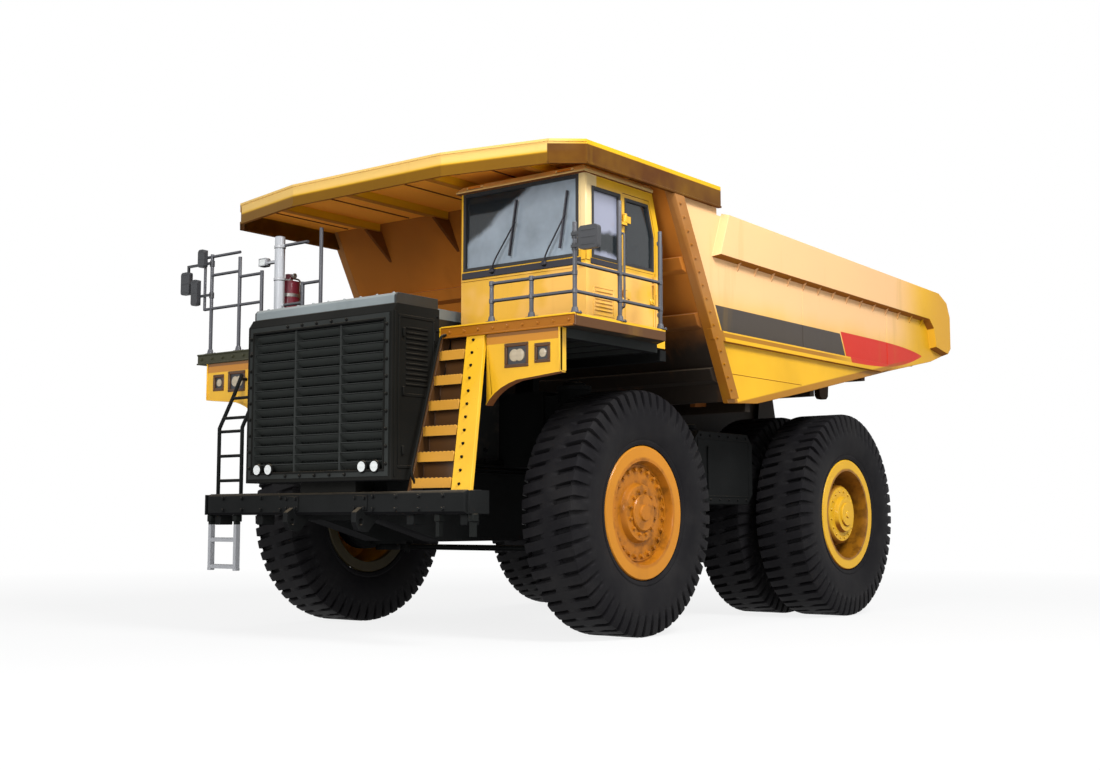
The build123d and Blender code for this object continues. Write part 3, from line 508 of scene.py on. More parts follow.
@dataclass(frozen=True)
class ShadedPaint(Paint):
    """Enamel with painted shade: brown all over and near-black lower down, standing in for the shade under
    the canopy and the body.

    Attributes:
        deep_shade_z: heights between which the painted deep shade fades out.
        deep_shade: colour of the painted deep shade.
    """

    deep_shade_z: Limits = (3.45, 4.05)
    deep_shade: Colour = (0.012, 0.008, 0.005)

    def artwork(self, tree: ShaderTree, base: Any) -> Any:
        """Lay the painted deep shade over the paint, and scrape the faces that the load slides along.

        Args:
            tree: the material's node tree.
            base: colour of the fresh paint.

        Returns:
            The marked colour.
        """
        z = tree.axes()[2]
        cloud = tree.noise(1.1, 4, 0.6)
        low, high = self.deep_shade_z
        base = tree.mix(tree.noise(0.8, 3).rise(0.35, 0.65), self.colour, shade(self.colour, 0.75))
        # painted shade: darker towards the bottom, near-black low down
        base = tree.mix((z + cloud * 0.5).rise(high, low), base, self.deep_shade)
        return tree.scoured(tree.axes("Normal")[1].rise(0.3, 0.6), base)


@dataclass(frozen=True)
class Zone:
    """A box of the truck with a colour of its own, open along an axis without limits."""

    colour: Colour
    x: Limits = (-INF, INF)
    y: Limits = (-INF, INF)
    z: Limits = (-INF, INF)


@dataclass(frozen=True)
class ZonedPaint(Paint):
    """Enamel with another colour inside some boxes of the truck.

    Attributes:
        zones: the boxes, each laid over those before it.
        patchy: how strongly the enamel shows through the first zone in patches.
        edge: width over which a zone fades out.
    """

    zones: tuple[Zone, ...] = ()
    patchy: float = 0.0
    edge: float = 0.006

    def artwork(self, tree: ShaderTree, base: Any) -> Any:
        """Lay the zones' colours over the fresh paint, in order.

        Args:
            tree: the material's node tree.
            base: colour of the fresh paint.

        Returns:
            The marked colour.
        """
        for i, zone in enumerate(self.zones):
            inside: Any = 1
            if self.patchy and not i:
                inside = 1 - tree.noise(1.7, 2).rise(0.49, 0.60) * self.patchy
            for axis, (start, end) in zip(tree.axes(), (zone.x, zone.y, zone.z)):
                if math.isfinite(start):
                    inside = axis.rise(start - self.edge, start) * inside
                if math.isfinite(end):
                    inside = axis.rise(end + self.edge, end) * inside
            base = tree.mix(inside, base, zone.colour)
        return base


@dataclass(frozen=True)
class RimPaint(Paint):
    """Rim enamel, with brown painted shade in its well, on the front rims together with dust, and near-black
    painted shade on its inner side.

    Attributes:
        axle: y and z of the wheel's axle.
        well: radii between which the well lies.
        disc: colour of the painted shade inside the well.
        mottle: how strongly darker patches of painted shade mottle the well.
        inner: colour of the painted shade on the inner side.
    """

    axle: Limits = (-2.65, 1.33)
    well: Limits = (-0.05, 0.590)
    disc: Colour = (0.34, 0.112, 0.004)
    mottle: float = 0.62
    inner: Colour = (0.030, 0.022, 0.008)

    def artwork(self, tree: ShaderTree, base: Any) -> Any:
        """Lay the painted shade over the fresh paint.

        Args:
            tree: the material's node tree.
            base: colour of the fresh paint.

        Returns:
            The marked colour.
        """
        x, y, z = tree.axes()
        across = ((y - self.axle[0]) ** 2 + (z - self.axle[1]) ** 2) ** 0.5
        across = across + tree.noise(4, 3, 0.6) * 0.02
        start, end = self.well
        well = across.rise(end + 0.03, end) * across.rise(start - 0.02, start + 0.01)
        # painted shade: the well is mixed to brown, with darker patches in it
        base = tree.mix(well * 0.92, base, self.disc)
        patches = tree.noise(5.5, 4, 0.62).rise(0.46, 0.66) * (0.5 + tree.noise(19, 3, 0.6))
        base = tree.mix((well * patches * self.mottle).least(1.0), base, shade(self.disc, 0.36))
        # painted shade: the side towards the middle of the truck is near-black
        return tree.mix(abs(x).rise(1.88, 1.80), base, self.inner)


@dataclass(frozen=True)
class StairPaint(Paint):
    """Enamel on the stair's leaning pillar, and painted shade in dark brown on its treads.

    Attributes:
        steps: colour of the painted shade on the treads.
        edge_x: the pillar's inner edge at its foot.
        lean: how far that edge moves inwards for each metre up.
        foot_z: height of the foot.
    """

    steps: Colour = (0.060, 0.023, 0.004)
    edge_x: float = 1.706
    lean: float = 0.1447
    foot_z: float = 1.54

    def artwork(self, tree: ShaderTree, base: Any) -> Any:
        """Keep the enamel outside the pillar's inner edge, and lay the painted shade inside it.

        Args:
            tree: the material's node tree.
            base: colour of the fresh paint.

        Returns:
            The marked colour.
        """
        x, _, z = tree.axes()
        pillar = (x + (z - self.foot_z) * self.lean).rise(self.edge_x - 0.004, self.edge_x)
        # painted shade: everything inside the pillar's edge takes the dark tread colour
        return tree.mix(pillar, self.steps, base)


@dataclass(frozen=True)
class TreadPlate(Finish):
    """Painted plate with raised anti-slip bars on its upper faces."""

    roughness: float = 0.55
    pitch: float = 0.055

    def skin(self, tree: ShaderTree) -> dict[str, Any]:
        """Lay the plate, the dust on it and the worn tops of its bars.

        Args:
            tree: the material's node tree.

        Returns:
            Values and links of the surface's sockets.
        """
        x, y, _ = tree.axes()
        turn = math.pi / self.pitch
        one = ((x + y) * turn).sine()
        other = ((x - y) * turn).sine()
        bars = (abs(one) ** 6 * other.rise(-0.2, 0.4) + abs(other) ** 6 * one.rise(0.2, -0.4)).least(1.0)
        up = tree.facing_up().rise(0.6, 0.9)
        raised = bars * up
        dust = up * (0.30 + tree.noise(16, 4, 0.6) * 0.5)
        base = tree.mix(dust, self.colour, Tint.DUST.value)
        return {"Base Color": tree.mix(raised * 0.55, base, Tint.STEEL.value),
                "Roughness": (self.roughness + dust * 0.4).least(1.0),
                "Normal": tree.bump(raised, 0.004, 0.9)}


@dataclass(frozen=True)
class Rubber(Finish):
    """Tyre rubber, greyer where it is dusty and smoother on the sidewall."""

    colour: Colour = (0.0058, 0.0054, 0.0064)
    dusty: float = 0.26
    dust: Colour = (0.040, 0.038, 0.036)

    def skin(self, tree: ShaderTree) -> dict[str, Any]:
        """Lay the rubber, its grain and the dust.

        Args:
            tree: the material's node tree.

        Returns:
            Values and links of the surface's sockets.
        """
        cloud = tree.noise(2.2, 4, 0.6)
        grain = tree.noise(60, 3, 0.7)
        dust = (cloud.rise(0.35, 0.8) * (0.4 + grain * 0.8) * self.dusty).least(1.0)
        return {"Base Color": tree.mix(dust, self.colour, self.dust),
                "Roughness": (0.62 + dust * 0.3 + grain * 0.08).least(1.0),
                "Normal": tree.bump(grain, 0.0012, 0.5, tree.bump(tree.noise(9, 3), 0.004, 0.35)),
                "Specular IOR Level": 0.08}


@dataclass(frozen=True)
class Metal(Finish):
    """Bare, plated or cast metal with fine marks along one axis."""

    roughness: float = 0.3
    metallic: float = 1.0
    marks: Point = (8, 8, 60)
    stained: float = 0.3
    stain: Colour = (0.10, 0.07, 0.05)

    def skin(self, tree: ShaderTree) -> dict[str, Any]:
        """Lay the metal, its marks and its stains.

        Args:
            tree: the material's node tree.

        Returns:
            Values and links of the surface's sockets.
        """
        brushed = tree.noise(4, 3, 0.6, self.marks)
        spots = tree.noise(6, 4, 0.65).rise(0.5, 0.8) * self.stained
        return {"Base Color": tree.mix(spots, self.colour, self.stain),
                "Roughness": (self.roughness + brushed * 0.12 + spots * 0.4).least(1.0),
                "Metallic": (self.metallic - spots * 0.6).most(0.0),
                "Normal": tree.bump(brushed, 0.0006, 0.4)}


@dataclass(frozen=True)
class Glass(Finish):
    """Tinted panes with a painted reflection: a paler diagonal band over the windscreen, where the glass is
    also rougher and less clear, paler where it is strong.

    Attributes:
        painted_reflection: colour of the painted reflection where it is strongest.
        glare: colour of the pale upper and lower ends of the left front pane.
        clear: how much shows through, from 0 to 1.
        slope: how far the painted reflection's upper edge rises for each metre across the windscreen.
    """

    painted_reflection: Colour = (0.25, 0.30, 0.35)
    glare: Colour = (0.275, 0.29, 0.375)
    clear: float = 0.22
    slope: float = 0.62

    def skin(self, tree: ShaderTree) -> dict[str, Any]:
        """Lay the tint, the painted reflection and the painted glare.

        Args:
            tree: the material's node tree.

        Returns:
            Values and links of the surface's sockets.
        """
        x, y, z = tree.axes()
        cloud = tree.noise(2.6, 3, 0.6)
        # painted reflection: a pale diagonal band over the windscreen; painted glare at the ends of the left
        # side pane
        reflected_band = (z - x * self.slope + cloud * 0.22).rise(3.94, 3.84) * y.rise(-3.72, -3.74)
        beside = x.rise(2.38, 2.42) * y.rise(-3.15, -3.20)
        glare = abs(z - 4.26 + cloud * 0.2).rise(0.09, 0.16) * beside
        base = tree.mix(reflected_band * (0.45 + cloud * 0.75), self.colour, self.painted_reflection)
        painted_reflection = (reflected_band + glare).least(1.0)
        return {
            "Base Color": tree.mix(glare * 0.85, base, self.glare), "Roughness": 0.05 + painted_reflection * 0.12,
            "Alpha": (1 - self.clear) + painted_reflection * self.clear * 0.8, "IOR": 1.5,
            "Coat Weight": 0.4, "Coat Roughness": 0.02, "Specular IOR Level": 0.35,
            "Normal": tree.bump(tree.noise(1.1, 1), 0.01, 0.12),
        }


@dataclass(frozen=True)
class Lens(Finish):
    """Pressed lamp lens with upright flutes over a bright reflector."""

    pitch: float = 0.016
    glow: float = 0.0

    def skin(self, tree: ShaderTree) -> dict[str, Any]:
        """Press the flutes and the rows across them.

        Args:
            tree: the material's node tree.

        Returns:
            Values and links of the surface's sockets.
        """
        x, _, z = tree.axes()
        flutes = abs((x * (math.pi / self.pitch)).sine())
        rows = abs((z * (math.pi / (self.pitch * 3))).sine())
        base = tree.mix(flutes * 0.5 + rows * 0.2, shade(self.colour, 0.62), self.colour)
        return {"Base Color": base, "Roughness": 0.12 + flutes * 0.1, "Coat Weight": 1.0,
                "Coat Roughness": 0.03, "Emission Color": base, "Emission Strength": self.glow,
                "Normal": tree.bump(flutes + rows * 0.5, 0.002, 0.7)}


@dataclass(frozen=True)
class Weave(Finish):
    """Woven seat cloth with a fine over-and-under thread."""

    pitch: float = 0.006

    def skin(self, tree: ShaderTree) -> dict[str, Any]:
        """Weave the threads.

        Args:
            tree: the material's node tree.

        Returns:
            Values and links of the surface's sockets.
        """
        x, y, z = tree.axes()
        turn = math.pi / self.pitch
        threads = abs((x * turn).sine() * ((y + z) * turn).sine())
        return {"Base Color": tree.mix(threads, shade(self.colour, 0.55), self.colour),
                "Roughness": 0.85 + threads * 0.1, "Sheen Weight": 0.35,
                "Normal": tree.bump(threads, 0.0012, 0.8)}


@dataclass(frozen=True)
class Moulded(Finish):
    """Grained plastic or rubber moulding."""

    roughness: float = 0.5

    def skin(self, tree: ShaderTree) -> dict[str, Any]:
        """Lay the moulding, its haze and its grain.

        Args:
            tree: the material's node tree.

        Returns:
            Values and links of the surface's sockets.
        """
        grain = tree.signal("TexVoronoi", None, {"Vector": tree.coordinates["Object"], "Scale": 220})
        haze = tree.noise(3, 3).rise(0.4, 0.8)
        pale = tuple(c * 1.6 + 0.02 for c in self.colour)
        return {"Base Color": tree.mix(haze * 0.3, self.colour, pale),
                "Roughness": (self.roughness + haze * 0.2).least(1.0),
                "Normal": tree.bump(grain, 0.0008, 0.5)}


class Finishes:
    """Every finish of the truck, made once and handed out by slot or by name."""

    def __init__(self) -> None:
        """Build the materials."""
        yellow, rail, grille = Tint.YELLOW.value, Tint.RAIL.value, Tint.GRILLE.value
        # stain and dark are the painted shade colours that faces looking down take
        dark, stain = Tint.DARK.value, Tint.WARM_SHADE.value
        rim = dict(roughness=0.46, coat=0.12, dust_top=0.1, chips=0.8, underside_shade=stain, shine=0.15, settle=0)
        black = dict(roughness=0.60, coat=0.0, dust_top=0.8, chips=0.15, underside_shade=dark, shine=0.06)
        brown = dict(dust_top=1.0, chips=0.2)
        hood_dark = (0.010, 0.011, 0.011)
        sorts = (
            Paint("body_yellow", yellow),
            MarkedPaint("body_marked", yellow, coat=0.05, shine=0.12, underside_shade=stain),
            # painted light: the canopy's faces that look down take an orange brighter than its paint,
            # standing in for light bounced into its shaded underside
            CanopyPaint("canopy_yellow", yellow, coat=0.05, underside_shade=(0.92, 0.35, 0.037), shine=0.08),
            ZonedPaint("fender_yellow", yellow, zones=(
                # painted shadow under the deck's overhanging edge: orange across the fascia's top, darker
                # brown in the band nearest the edge
                Zone((0.40, 0.155, 0.006), y=(-INF, -4.40), z=(3.020, INF)),
                Zone((0.16, 0.058, 0.004), y=(-INF, -4.40), z=(3.095, INF)))),
            StairPaint("stair_paint", yellow),
            ZonedPaint("deck_yellow", yellow, coat=0.12, shine=0.15, underside_shade=(0.010, 0.006, 0.003), zones=(
                # painted shade: the left deck's front edge band in orange-brown and its outer side edge in
                # dark brown; then a dark strip along the right deck's front edge
                Zone((0.27, 0.092, 0.005), (1.12, INF), (-INF, -4.505), (-INF, 3.236)),
                Zone((0.070, 0.027, 0.006), x=(2.865, INF), z=(-INF, 3.225)),
                Zone((0.030, 0.030, 0.014), x=(-INF, -1.12), y=(-INF, -4.40)))),
            ZonedPaint("cab_yellow", yellow, patchy=0.75, zones=(
                Zone((0.69, 0.38, 0.075), z=(3.30, 3.90)),
                Zone((0.66, 0.50, 0.24), x=(2.30, INF), y=(-INF, -3.60), z=(4.05, INF)))),
            RimPaint("rim_yellow", Tint.ORANGE.value, **rim),
            RimPaint("rear_rim_yellow", (0.62, 0.34, 0.011), **rim, axle=(1.92, 1.33),
                     well=(0.380, 0.600), disc=(0.20, 0.070, 0.003)),
            # painted shade: the body's front wall and the floor's underside are brown and near-black for the
            # shade they lie in
            ShadedPaint("shaded_wall_brown", (0.40, 0.132, 0.014), 0.55, 0.05, **brown, shine=0.2, settle=0.1),
            ShadedPaint("shaded_floor_brown", (0.060, 0.022, 0.005), 0.6, 0.0, **brown, shine=0.1,
                           deep_shade_z=(3.0, 3.7), settle=0.1),
            Paint("shadow_brown", (0.15, 0.046, 0.005), 0.55, 0.05, **brown, shine=0.2),
            # painted shade: the stair's nosings are a dark yellow-brown, standing in for the shade on the
            # yellow steps
            Paint("shaded_step_brown", (0.46, 0.215, 0.018), 0.5, 0.1, 1.0, 0.6, underside_shade=dark),
            Paint("frame_charcoal", (0.0065, 0.007, 0.007), **black),
            Paint("grille_black", grille, **black),
            ZonedPaint("grille_lit_depths", grille, **black, zones=(
                # painted light: the louvres and the core behind them are lighter than the frame, so the
                # recesses read less dark
                Zone((0.029, 0.032, 0.030), y=(-5.195, INF)),
                Zone((0.052, 0.058, 0.054), y=(-5.095, INF)))),
            Paint("shell_black", (0.0050, 0.0050, 0.0042), **black),
            Paint("roof_cream", (0.74, 0.52, 0.20), 0.4, 0.2, **brown),
            ZonedPaint("hood_grey", (0.165, 0.19, 0.195), 0.42, 0.2, 1.0, 0.3, underside_shade=dark, shine=0.3, zones=(
                Zone(hood_dark, x=(1.06, INF)), Zone(hood_dark, x=(-INF, -1.06)),
                Zone(hood_dark, z=(-INF, 3.438)))),
            ZonedPaint("rail_grey", rail, 0.45, 0.15, 1.0, 0.4, underside_shade=dark, shine=0.3, zones=(
                Zone((0.36, 0.37, 0.39), x=(-1.55, -1.37), z=(3.30, INF)),)),
            ZonedPaint("ladder_grey", (0.0075, 0.0085, 0.008), **black, zones=(
                Zone((0.30, 0.305, 0.32), x=(-INF, 0), z=(-INF, 1.20)),)),
            Paint("cowl_dark", (0.026, 0.025, 0.032), 0.5, 0.1, 0.0, 0.2, underside_shade=dark, shine=0.2),
            Paint("lamp_brown", (0.060, 0.026, 0.008), 0.5, 0.1, 1.0, 0.3),
            Paint("pale_grey", (0.34, 0.345, 0.36), 0.4, 0.3, 1.0, 0.3, underside_shade=dark),
            TreadPlate("tread_plate", (0.035, 0.036, 0.038)),
            Rubber("tyre_black"),
            Metal("rod_chrome", (0.72, 0.73, 0.74), 0.10, 1.0, (1, 1, 1), 0.08),
            Metal("worn_steel", (0.22, 0.20, 0.18), 0.45, 0.7, (30, 2, 30)),
            Metal("mirror_silver", (0.80, 0.82, 0.84), 0.03, 1.0, (1, 1, 1), 0.02),
            Metal("bolt_steel", (0.32, 0.31, 0.29), 0.38, 0.9),
            Metal("engine_iron", (0.012, 0.012, 0.012), 0.7, 0.2, (9, 9, 9), 0.5),
            Glass("window_glass", (0.014, 0.018, 0.021)),
            Lens("lamp_glass", (0.58, 0.60, 0.59), glow=0.22),
            Lens("fender_lens", (0.42, 0.34, 0.22)),
            Lens("amber_lens", (0.75, 0.22, 0.02), 0.010),
            Lens("red_lens", (0.55, 0.02, 0.015), 0.010),
            Weave("seat_fabric", (0.055, 0.058, 0.066)),
            Moulded("console_plastic", (0.022, 0.023, 0.026)),
            Moulded("seal_rubber", (0.010, 0.010, 0.011), 0.6),
            Paint("bottle_red", (0.16, 0.012, 0.026), 0.4, 0.3, 1.0, 0.3, underside_shade=dark),
        )
        self.materials = {sort.name: sort.make() for sort in sorts}

    def __getitem__(self, name: str) -> bpy.types.Material:
        """The material of that name."""
        return self.materials[name]


# ================================================================ places on the truck
class Face(Enum):
    """A side of the truck: what runs across it, what runs up it and which way it looks."""

    FRONT = ((1, 0, 0), (0, 0, 1), (0, -1, 0))
    REAR = ((1, 0, 0), (0, 0, 1), (0, 1, 0))
    LEFT = ((0, 1, 0), (0, 0, 1), (1, 0, 0))
    RIGHT = ((0, 1, 0), (0, 0, 1), (-1, 0, 0))
    TOP = ((1, 0, 0), (0, 1, 0), (0, 0, 1))

    @property
    def out(self) -> Vector:
        """The way that the side looks."""
        return Vector(self.value[2])

    def spot(self, across: float, up: float, out: float) -> Vector:
        """Place on the side, from its three distances from the origin."""
        return sum((Vector(way) * far for way, far in zip(self.value, (across, up, out))), Vector())


def flank(sign: int) -> Face:
    """The left side for 1, the right side for -1."""
    return Face.LEFT if sign > 0 else Face.RIGHT


def spread(low: float, high: float, count: int) -> list[float]:
    """Evenly spaced places from low to high."""
    return [low + (high - low) * i / (count - 1) for i in range(count)]


def about(middle: float, half: float) -> Limits:
    """Limits on both sides of a middle."""
    return middle - half, middle + half


def sorted_box(first: Point, second: Point) -> tuple[Vector, Vector]:
    """Lowest and highest corner of the box between two points."""
    pairs = [sorted(pair) for pair in zip(first, second)]
    return Vector([low for low, _ in pairs]), Vector([high for _, high in pairs])


# ================================================================ mesh making
class Forge:
    """Gathers small shapes into one mesh."""

    def __init__(self) -> None:
        """Start with an empty mesh."""
        self.mesh = bmesh.new()

    def corners(self, points: Sequence[Vector]) -> list[bmesh.types.BMVert]:
        """Add loose corners."""
        return [self.mesh.verts.new(p) for p in points]

    def skin(self, rings: list[list[bmesh.types.BMVert]], closed: bool = False) -> None:
        """Join rings of corners, any of which may be a single point.

        Args:
            rings: the rings in order.
            closed: whether the last joins the first; otherwise both ends are capped.
        """
        for first, second in zip(rings, rings[1:] + rings[:1] if closed else rings[1:]):
            for i in range(max(len(first), len(second))):
                ends = ((first, i), (first, i + 1), (second, i + 1), (second, i))
                quad = [ring[k % len(ring)] for ring, k in ends]
                self.mesh.faces.new(list(dict.fromkeys(quad)))
        for end in () if closed else (rings[0], rings[-1]):
            if len(end) > 2:
                self.mesh.faces.new(end)

    def block(self, low: Point, high: Point, edge: float = 0.004, turn: Matrix | None = None) -> None:
        """Add a box with softened edges.

        Args:
            low: lowest corner.
            high: highest corner.
            edge: width of the softened edges.
            turn: a turn about the box's own middle.
        """
        low, high = Vector(low), Vector(high)
        size = high - low
        spot = Matrix.Translation((low + high) / 2) @ (turn or Matrix()) @ Matrix.Diagonal((*size, 1))
        made = bmesh.ops.create_cube(self.mesh, size=1, matrix=spot)["verts"]
        if edge:
            edges = {e for v in made for e in v.link_edges}
            width = min(edge, min(size) * 0.3)
            bmesh.ops.bevel(self.mesh, geom=list(edges), offset=width, segments=1, affect="EDGES")

    def slab(self, face: Face, across: Limits, up: Limits, out: Limits, edge: float = 0.004) -> None:
        """Add a box given by its limits on one side of the truck.

        Args:
            face: the side that it lies on.
            across: limits across that side.
            up: limits up that side.
            out: limits along the way that the side looks.
            edge: width of the softened edges.
        """
        ends = zip(across, up, out)
        self.block(*sorted_box(*(face.spot(*end) for end in ends)), edge)

    def surround(self, face: Face, across: Limits, up: Limits, out: Limits, width: float,
                 edge: float = 0.003) -> None:
        """Add a frame of four bars round a rectangle, outside its limits.

        Args:
            face: the side that it lies on.
            across: the rectangle's limits across that side.
            up: the rectangle's limits up that side.
            out: the bars' limits along the way that the side looks.
            width: width of each bar.
            edge: width of the softened edges.
        """
        (a0, a1), (u0, u1) = across, up
        wide = (a0 - width, a1 + width)
        for bar in ((wide, (u0 - width, u0)), (wide, (u1, u1 + width)), ((a0 - width, a0), up),
                    ((a1, a1 + width), up)):
            self.slab(face, *bar, out, edge)

    def gasket(self, face: Face, window: Profile, out: Limits, width: float, inset: float = 0.0) -> None:
        """Add a flat frame round a window with any number of corners.

        Args:
            face: the side that it lies on.
            window: across and up of each corner, in order round the window.
            out: the frame's limits along the way that the side looks.
            width: width of the frame.
            inset: how far its inner edge lies inside the corners.
        """
        window = [Vector(c) for c in window]
        middle = sum(window, Vector((0, 0))) / len(window)
        rings = []
        for reach in (-inset, width - inset):
            ring = []
            for before, here, after in zip(window[-1:] + window[:-1], window, window[1:] + window[:1]):
                sides = []
                for run in (here - before, after - here):
                    normal = Vector((run.y, -run.x)).normalized()
                    sides.append(-normal if normal.dot(here - middle) < 0 else normal)
                ring.append(here + (sides[0] + sides[1]) * reach / (1 + sides[0].dot(sides[1])))
            rings.append(ring)
        low, high = sorted(out)
        inner, outer = rings
        for i in range(len(window)):
            j = (i + 1) % len(window)
            outline = [face.spot(*p, low) for p in (inner[i], inner[j], outer[j], outer[i])]
            self.prism(outline, face.out * (high - low))

    def cushion(self, middle: Point, half: Point, lean: float) -> None:
        """Add a crowned cushion.

        Args:
            middle: its centre.
            half: half its size along each axis.
            lean: its turn about the X axis, in radians.
        """
        made = bmesh.ops.create_uvsphere(self.mesh, u_segments=40, v_segments=20, radius=1)["verts"]
        turn = Matrix.Rotation(lean, 3, "X")
        for vert in made:
            square = [math.copysign(abs(c) ** 0.42, c) * h for c, h in zip(vert.co, half)]
            vert.co = Vector(middle) + turn @ Vector(square)

    def lathe(self, profile: Profile, origin: Point, axis: Point, sides: int = 24,
              closed: bool = False) -> None:
        """Turn a profile about an axis.

        Args:
            profile: pairs of place along the axis and radius.
            origin: where the axis starts.
            axis: its direction.
            sides: flats round the axis.
            closed: whether the profile's ends join each other.
        """
        spin = Vector(axis).to_track_quat("Z", "Y").to_matrix().to_4x4()
        spot = Matrix.Translation(Vector(origin)) @ spin
        rings = []
        for along, radius in profile:
            angles = [TURN * i / sides for i in range(sides if radius else 1)]
            rings.append(self.corners([
                spot @ Vector((radius * math.cos(a), radius * math.sin(a), along)) for a in angles]))
        self.skin(rings, closed)

    def rod(self, start: Point, end: Point, radius: float, sides: int = 12, edge: float = 0.0) -> None:
        """Add a round bar whose two ends are softened by edge.

        Args:
            start: middle of one end.
            end: middle of the other end.
            radius: its radius.
            sides: flats round it.
            edge: width of the softened edges.
        """
        run = Vector(end) - Vector(start)
        long = run.length
        profile = [(0, radius), (long, radius)]
        if edge:
            profile = [(0, radius - edge), (edge, radius), (long - edge, radius), (long, radius - edge)]
        self.lathe(profile, start, run, sides)

    def ring(self, origin: Point, axis: Point, outer: float, inner: float, thick: float,
             sides: int = 48, edge: float = 0.004) -> None:
        """Add a flat ring with softened outer edges.

        Args:
            origin: middle of its first face.
            axis: the way from its first face to its second.
            outer: its outer radius.
            inner: its inner radius.
            thick: its thickness along the axis.
            sides: flats round it.
            edge: width of the softened edges.
        """
        profile = [(0, inner), (0, outer - edge), (edge, outer), (thick - edge, outer),
                   (thick, outer - edge), (thick, inner)]
        self.lathe(profile, origin, axis, sides, closed=True)

    def bolt(self, at: Point, axis: Point, across: float = 0.04) -> None:
        """Add a hexagon head on its washer.

        Args:
            at: middle of the washer's seat.
            axis: the way that the head stands up.
            across: width of the head across flats.
        """
        half = across / 2
        self.lathe([(0, half * 1.5), (half * 0.25, half * 1.5), (half * 0.3, half * 1.42)], at, axis, 14)
        top = Vector(at) + Vector(axis).normalized() * half * 0.3
        self.lathe([(0, half * 1.12), (half * 0.95, half * 1.12), (half * 1.2, half * 0.9)], top, axis, 6)

    def bolts(self, face: Face, across: Sequence[float], up: Sequence[float], out: float,
              size: float) -> None:
        """Add a bolt wherever a column crosses a row on one side of the truck.

        Args:
            face: the side that they stand on.
            across: the columns.
            up: the rows.
            out: how far out their seats lie.
            size: width of the heads across flats.
        """
        for a in across:
            for u in up:
                self.bolt(face.spot(a, u, out), face.out, size)

    def bolt_ring(self, centre: Point, axis: Point, radius: float, count: int,
                  across: float = 0.04) -> None:
        """Add bolts evenly round a circle.

        Args:
            centre: middle of the circle.
            axis: the way that the heads stand up.
            radius: radius of the circle.
            count: how many bolts there are.
            across: width of the heads across flats.
        """
        spin = Vector(axis).to_track_quat("Z", "Y").to_matrix()
        for i in range(count):
            angle = TURN * (i + 0.5) / count
            spoke = spin @ Vector((math.cos(angle), math.sin(angle), 0)) * radius
            self.bolt(Vector(centre) + spoke, axis, across)

    def pipe(self, points: Sequence[Point], radius: float, sides: int = 10, bend: float = 0.06) -> None:
        """Add a rigid pipe with round bends.

        Args:
            points: the corners of its run.
            radius: its outer radius.
            sides: flats round it.
            bend: how far each bend reaches along its two runs.
        """
        points = [Vector(p) for p in points]
        path = [points[0]]
        for before, corner, after in zip(points, points[1:], points[2:]):
            start = corner + (before - corner).normalized() * bend
            end = corner + (after - corner).normalized() * bend
            for t in spread(0, 1, 7):
                path.append(start * (1 - t) ** 2 + corner * 2 * t * (1 - t) + end * t ** 2)
        path.append(points[-1])
        side = (path[1] - path[0]).orthogonal().normalized()
        angles = [TURN * k / sides for k in range(sides)]
        rings = []
        for i, here in enumerate(path):
            run = (path[min(i + 1, len(path) - 1)] - path[max(i - 1, 0)]).normalized()
            side = (side - run * side.dot(run)).normalized()
            other = run.cross(side)
            rings.append(self.corners([
                here + (side * math.cos(a) + other * math.sin(a)) * radius for a in angles]))
        self.skin(rings)

    def prism(self, outline: Sequence[Point], sweep: Point) -> None:
        """Add a plate from an outline of points and the vector that it is swept by."""
        near = [Vector(p) for p in outline]
        self.skin([self.corners(near), self.corners([p + Vector(sweep) for p in near])])

    def mirrored(self) -> None:
        """Add a mirror image across the truck's middle."""
        mesh = self.mesh
        copy = bmesh.ops.duplicate(mesh, geom=mesh.verts[:] + mesh.edges[:] + mesh.faces[:])["geom"]
        verts = [g for g in copy if isinstance(g, bmesh.types.BMVert)]
        faces = [g for g in copy if isinstance(g, bmesh.types.BMFace)]
        bmesh.ops.scale(mesh, verts=verts, vec=(-1, 1, 1))
        bmesh.ops.reverse_faces(mesh, faces=faces)


@dataclass
class Assembly:
    """A sub-assembly, which turns meshes into dressed pieces.

    Attributes:
        finishes: the truck's finishes.
        body: the body that its pieces ride on, unless they say otherwise.
    """

    finishes: Finishes
    body: str = "chassis"

    def piece(self, forge: Forge, name: str, finish: str, slot: str = "frame_charcoal",
              body: str = "", replaces: Sequence[str] = ()) -> bpy.types.Object:
        """Turn what was gathered into a piece.

        Args:
            forge: the gathered mesh.
            name: the piece's name.
            finish: name of its finish.
            slot: the record's material slot; not used.
            body: the body that it rides on, if not the sub-assembly's.
            replaces: solids that it stands for.

        Returns:
            The new object.
        """
        bmesh.ops.recalc_face_normals(forge.mesh, faces=forge.mesh.faces)
        data = bpy.data.meshes.new(name)
        forge.mesh.to_mesh(data)
        forge.mesh.free()
        data.polygons.foreach_set("use_smooth", [True] * len(data.polygons))
        data.set_sharp_from_angle(angle=SMOOTH_ANGLE)
        data.materials.append(self.finishes[finish])
        made = bpy.data.objects.new(name, data)
        bpy.context.scene.collection.objects.link(made)
        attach(made, body or self.body)
        if replaces:
            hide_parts(*replaces)
        log.info("%s: %d faces on %s", name, len(data.polygons), body or self.body)
        return made


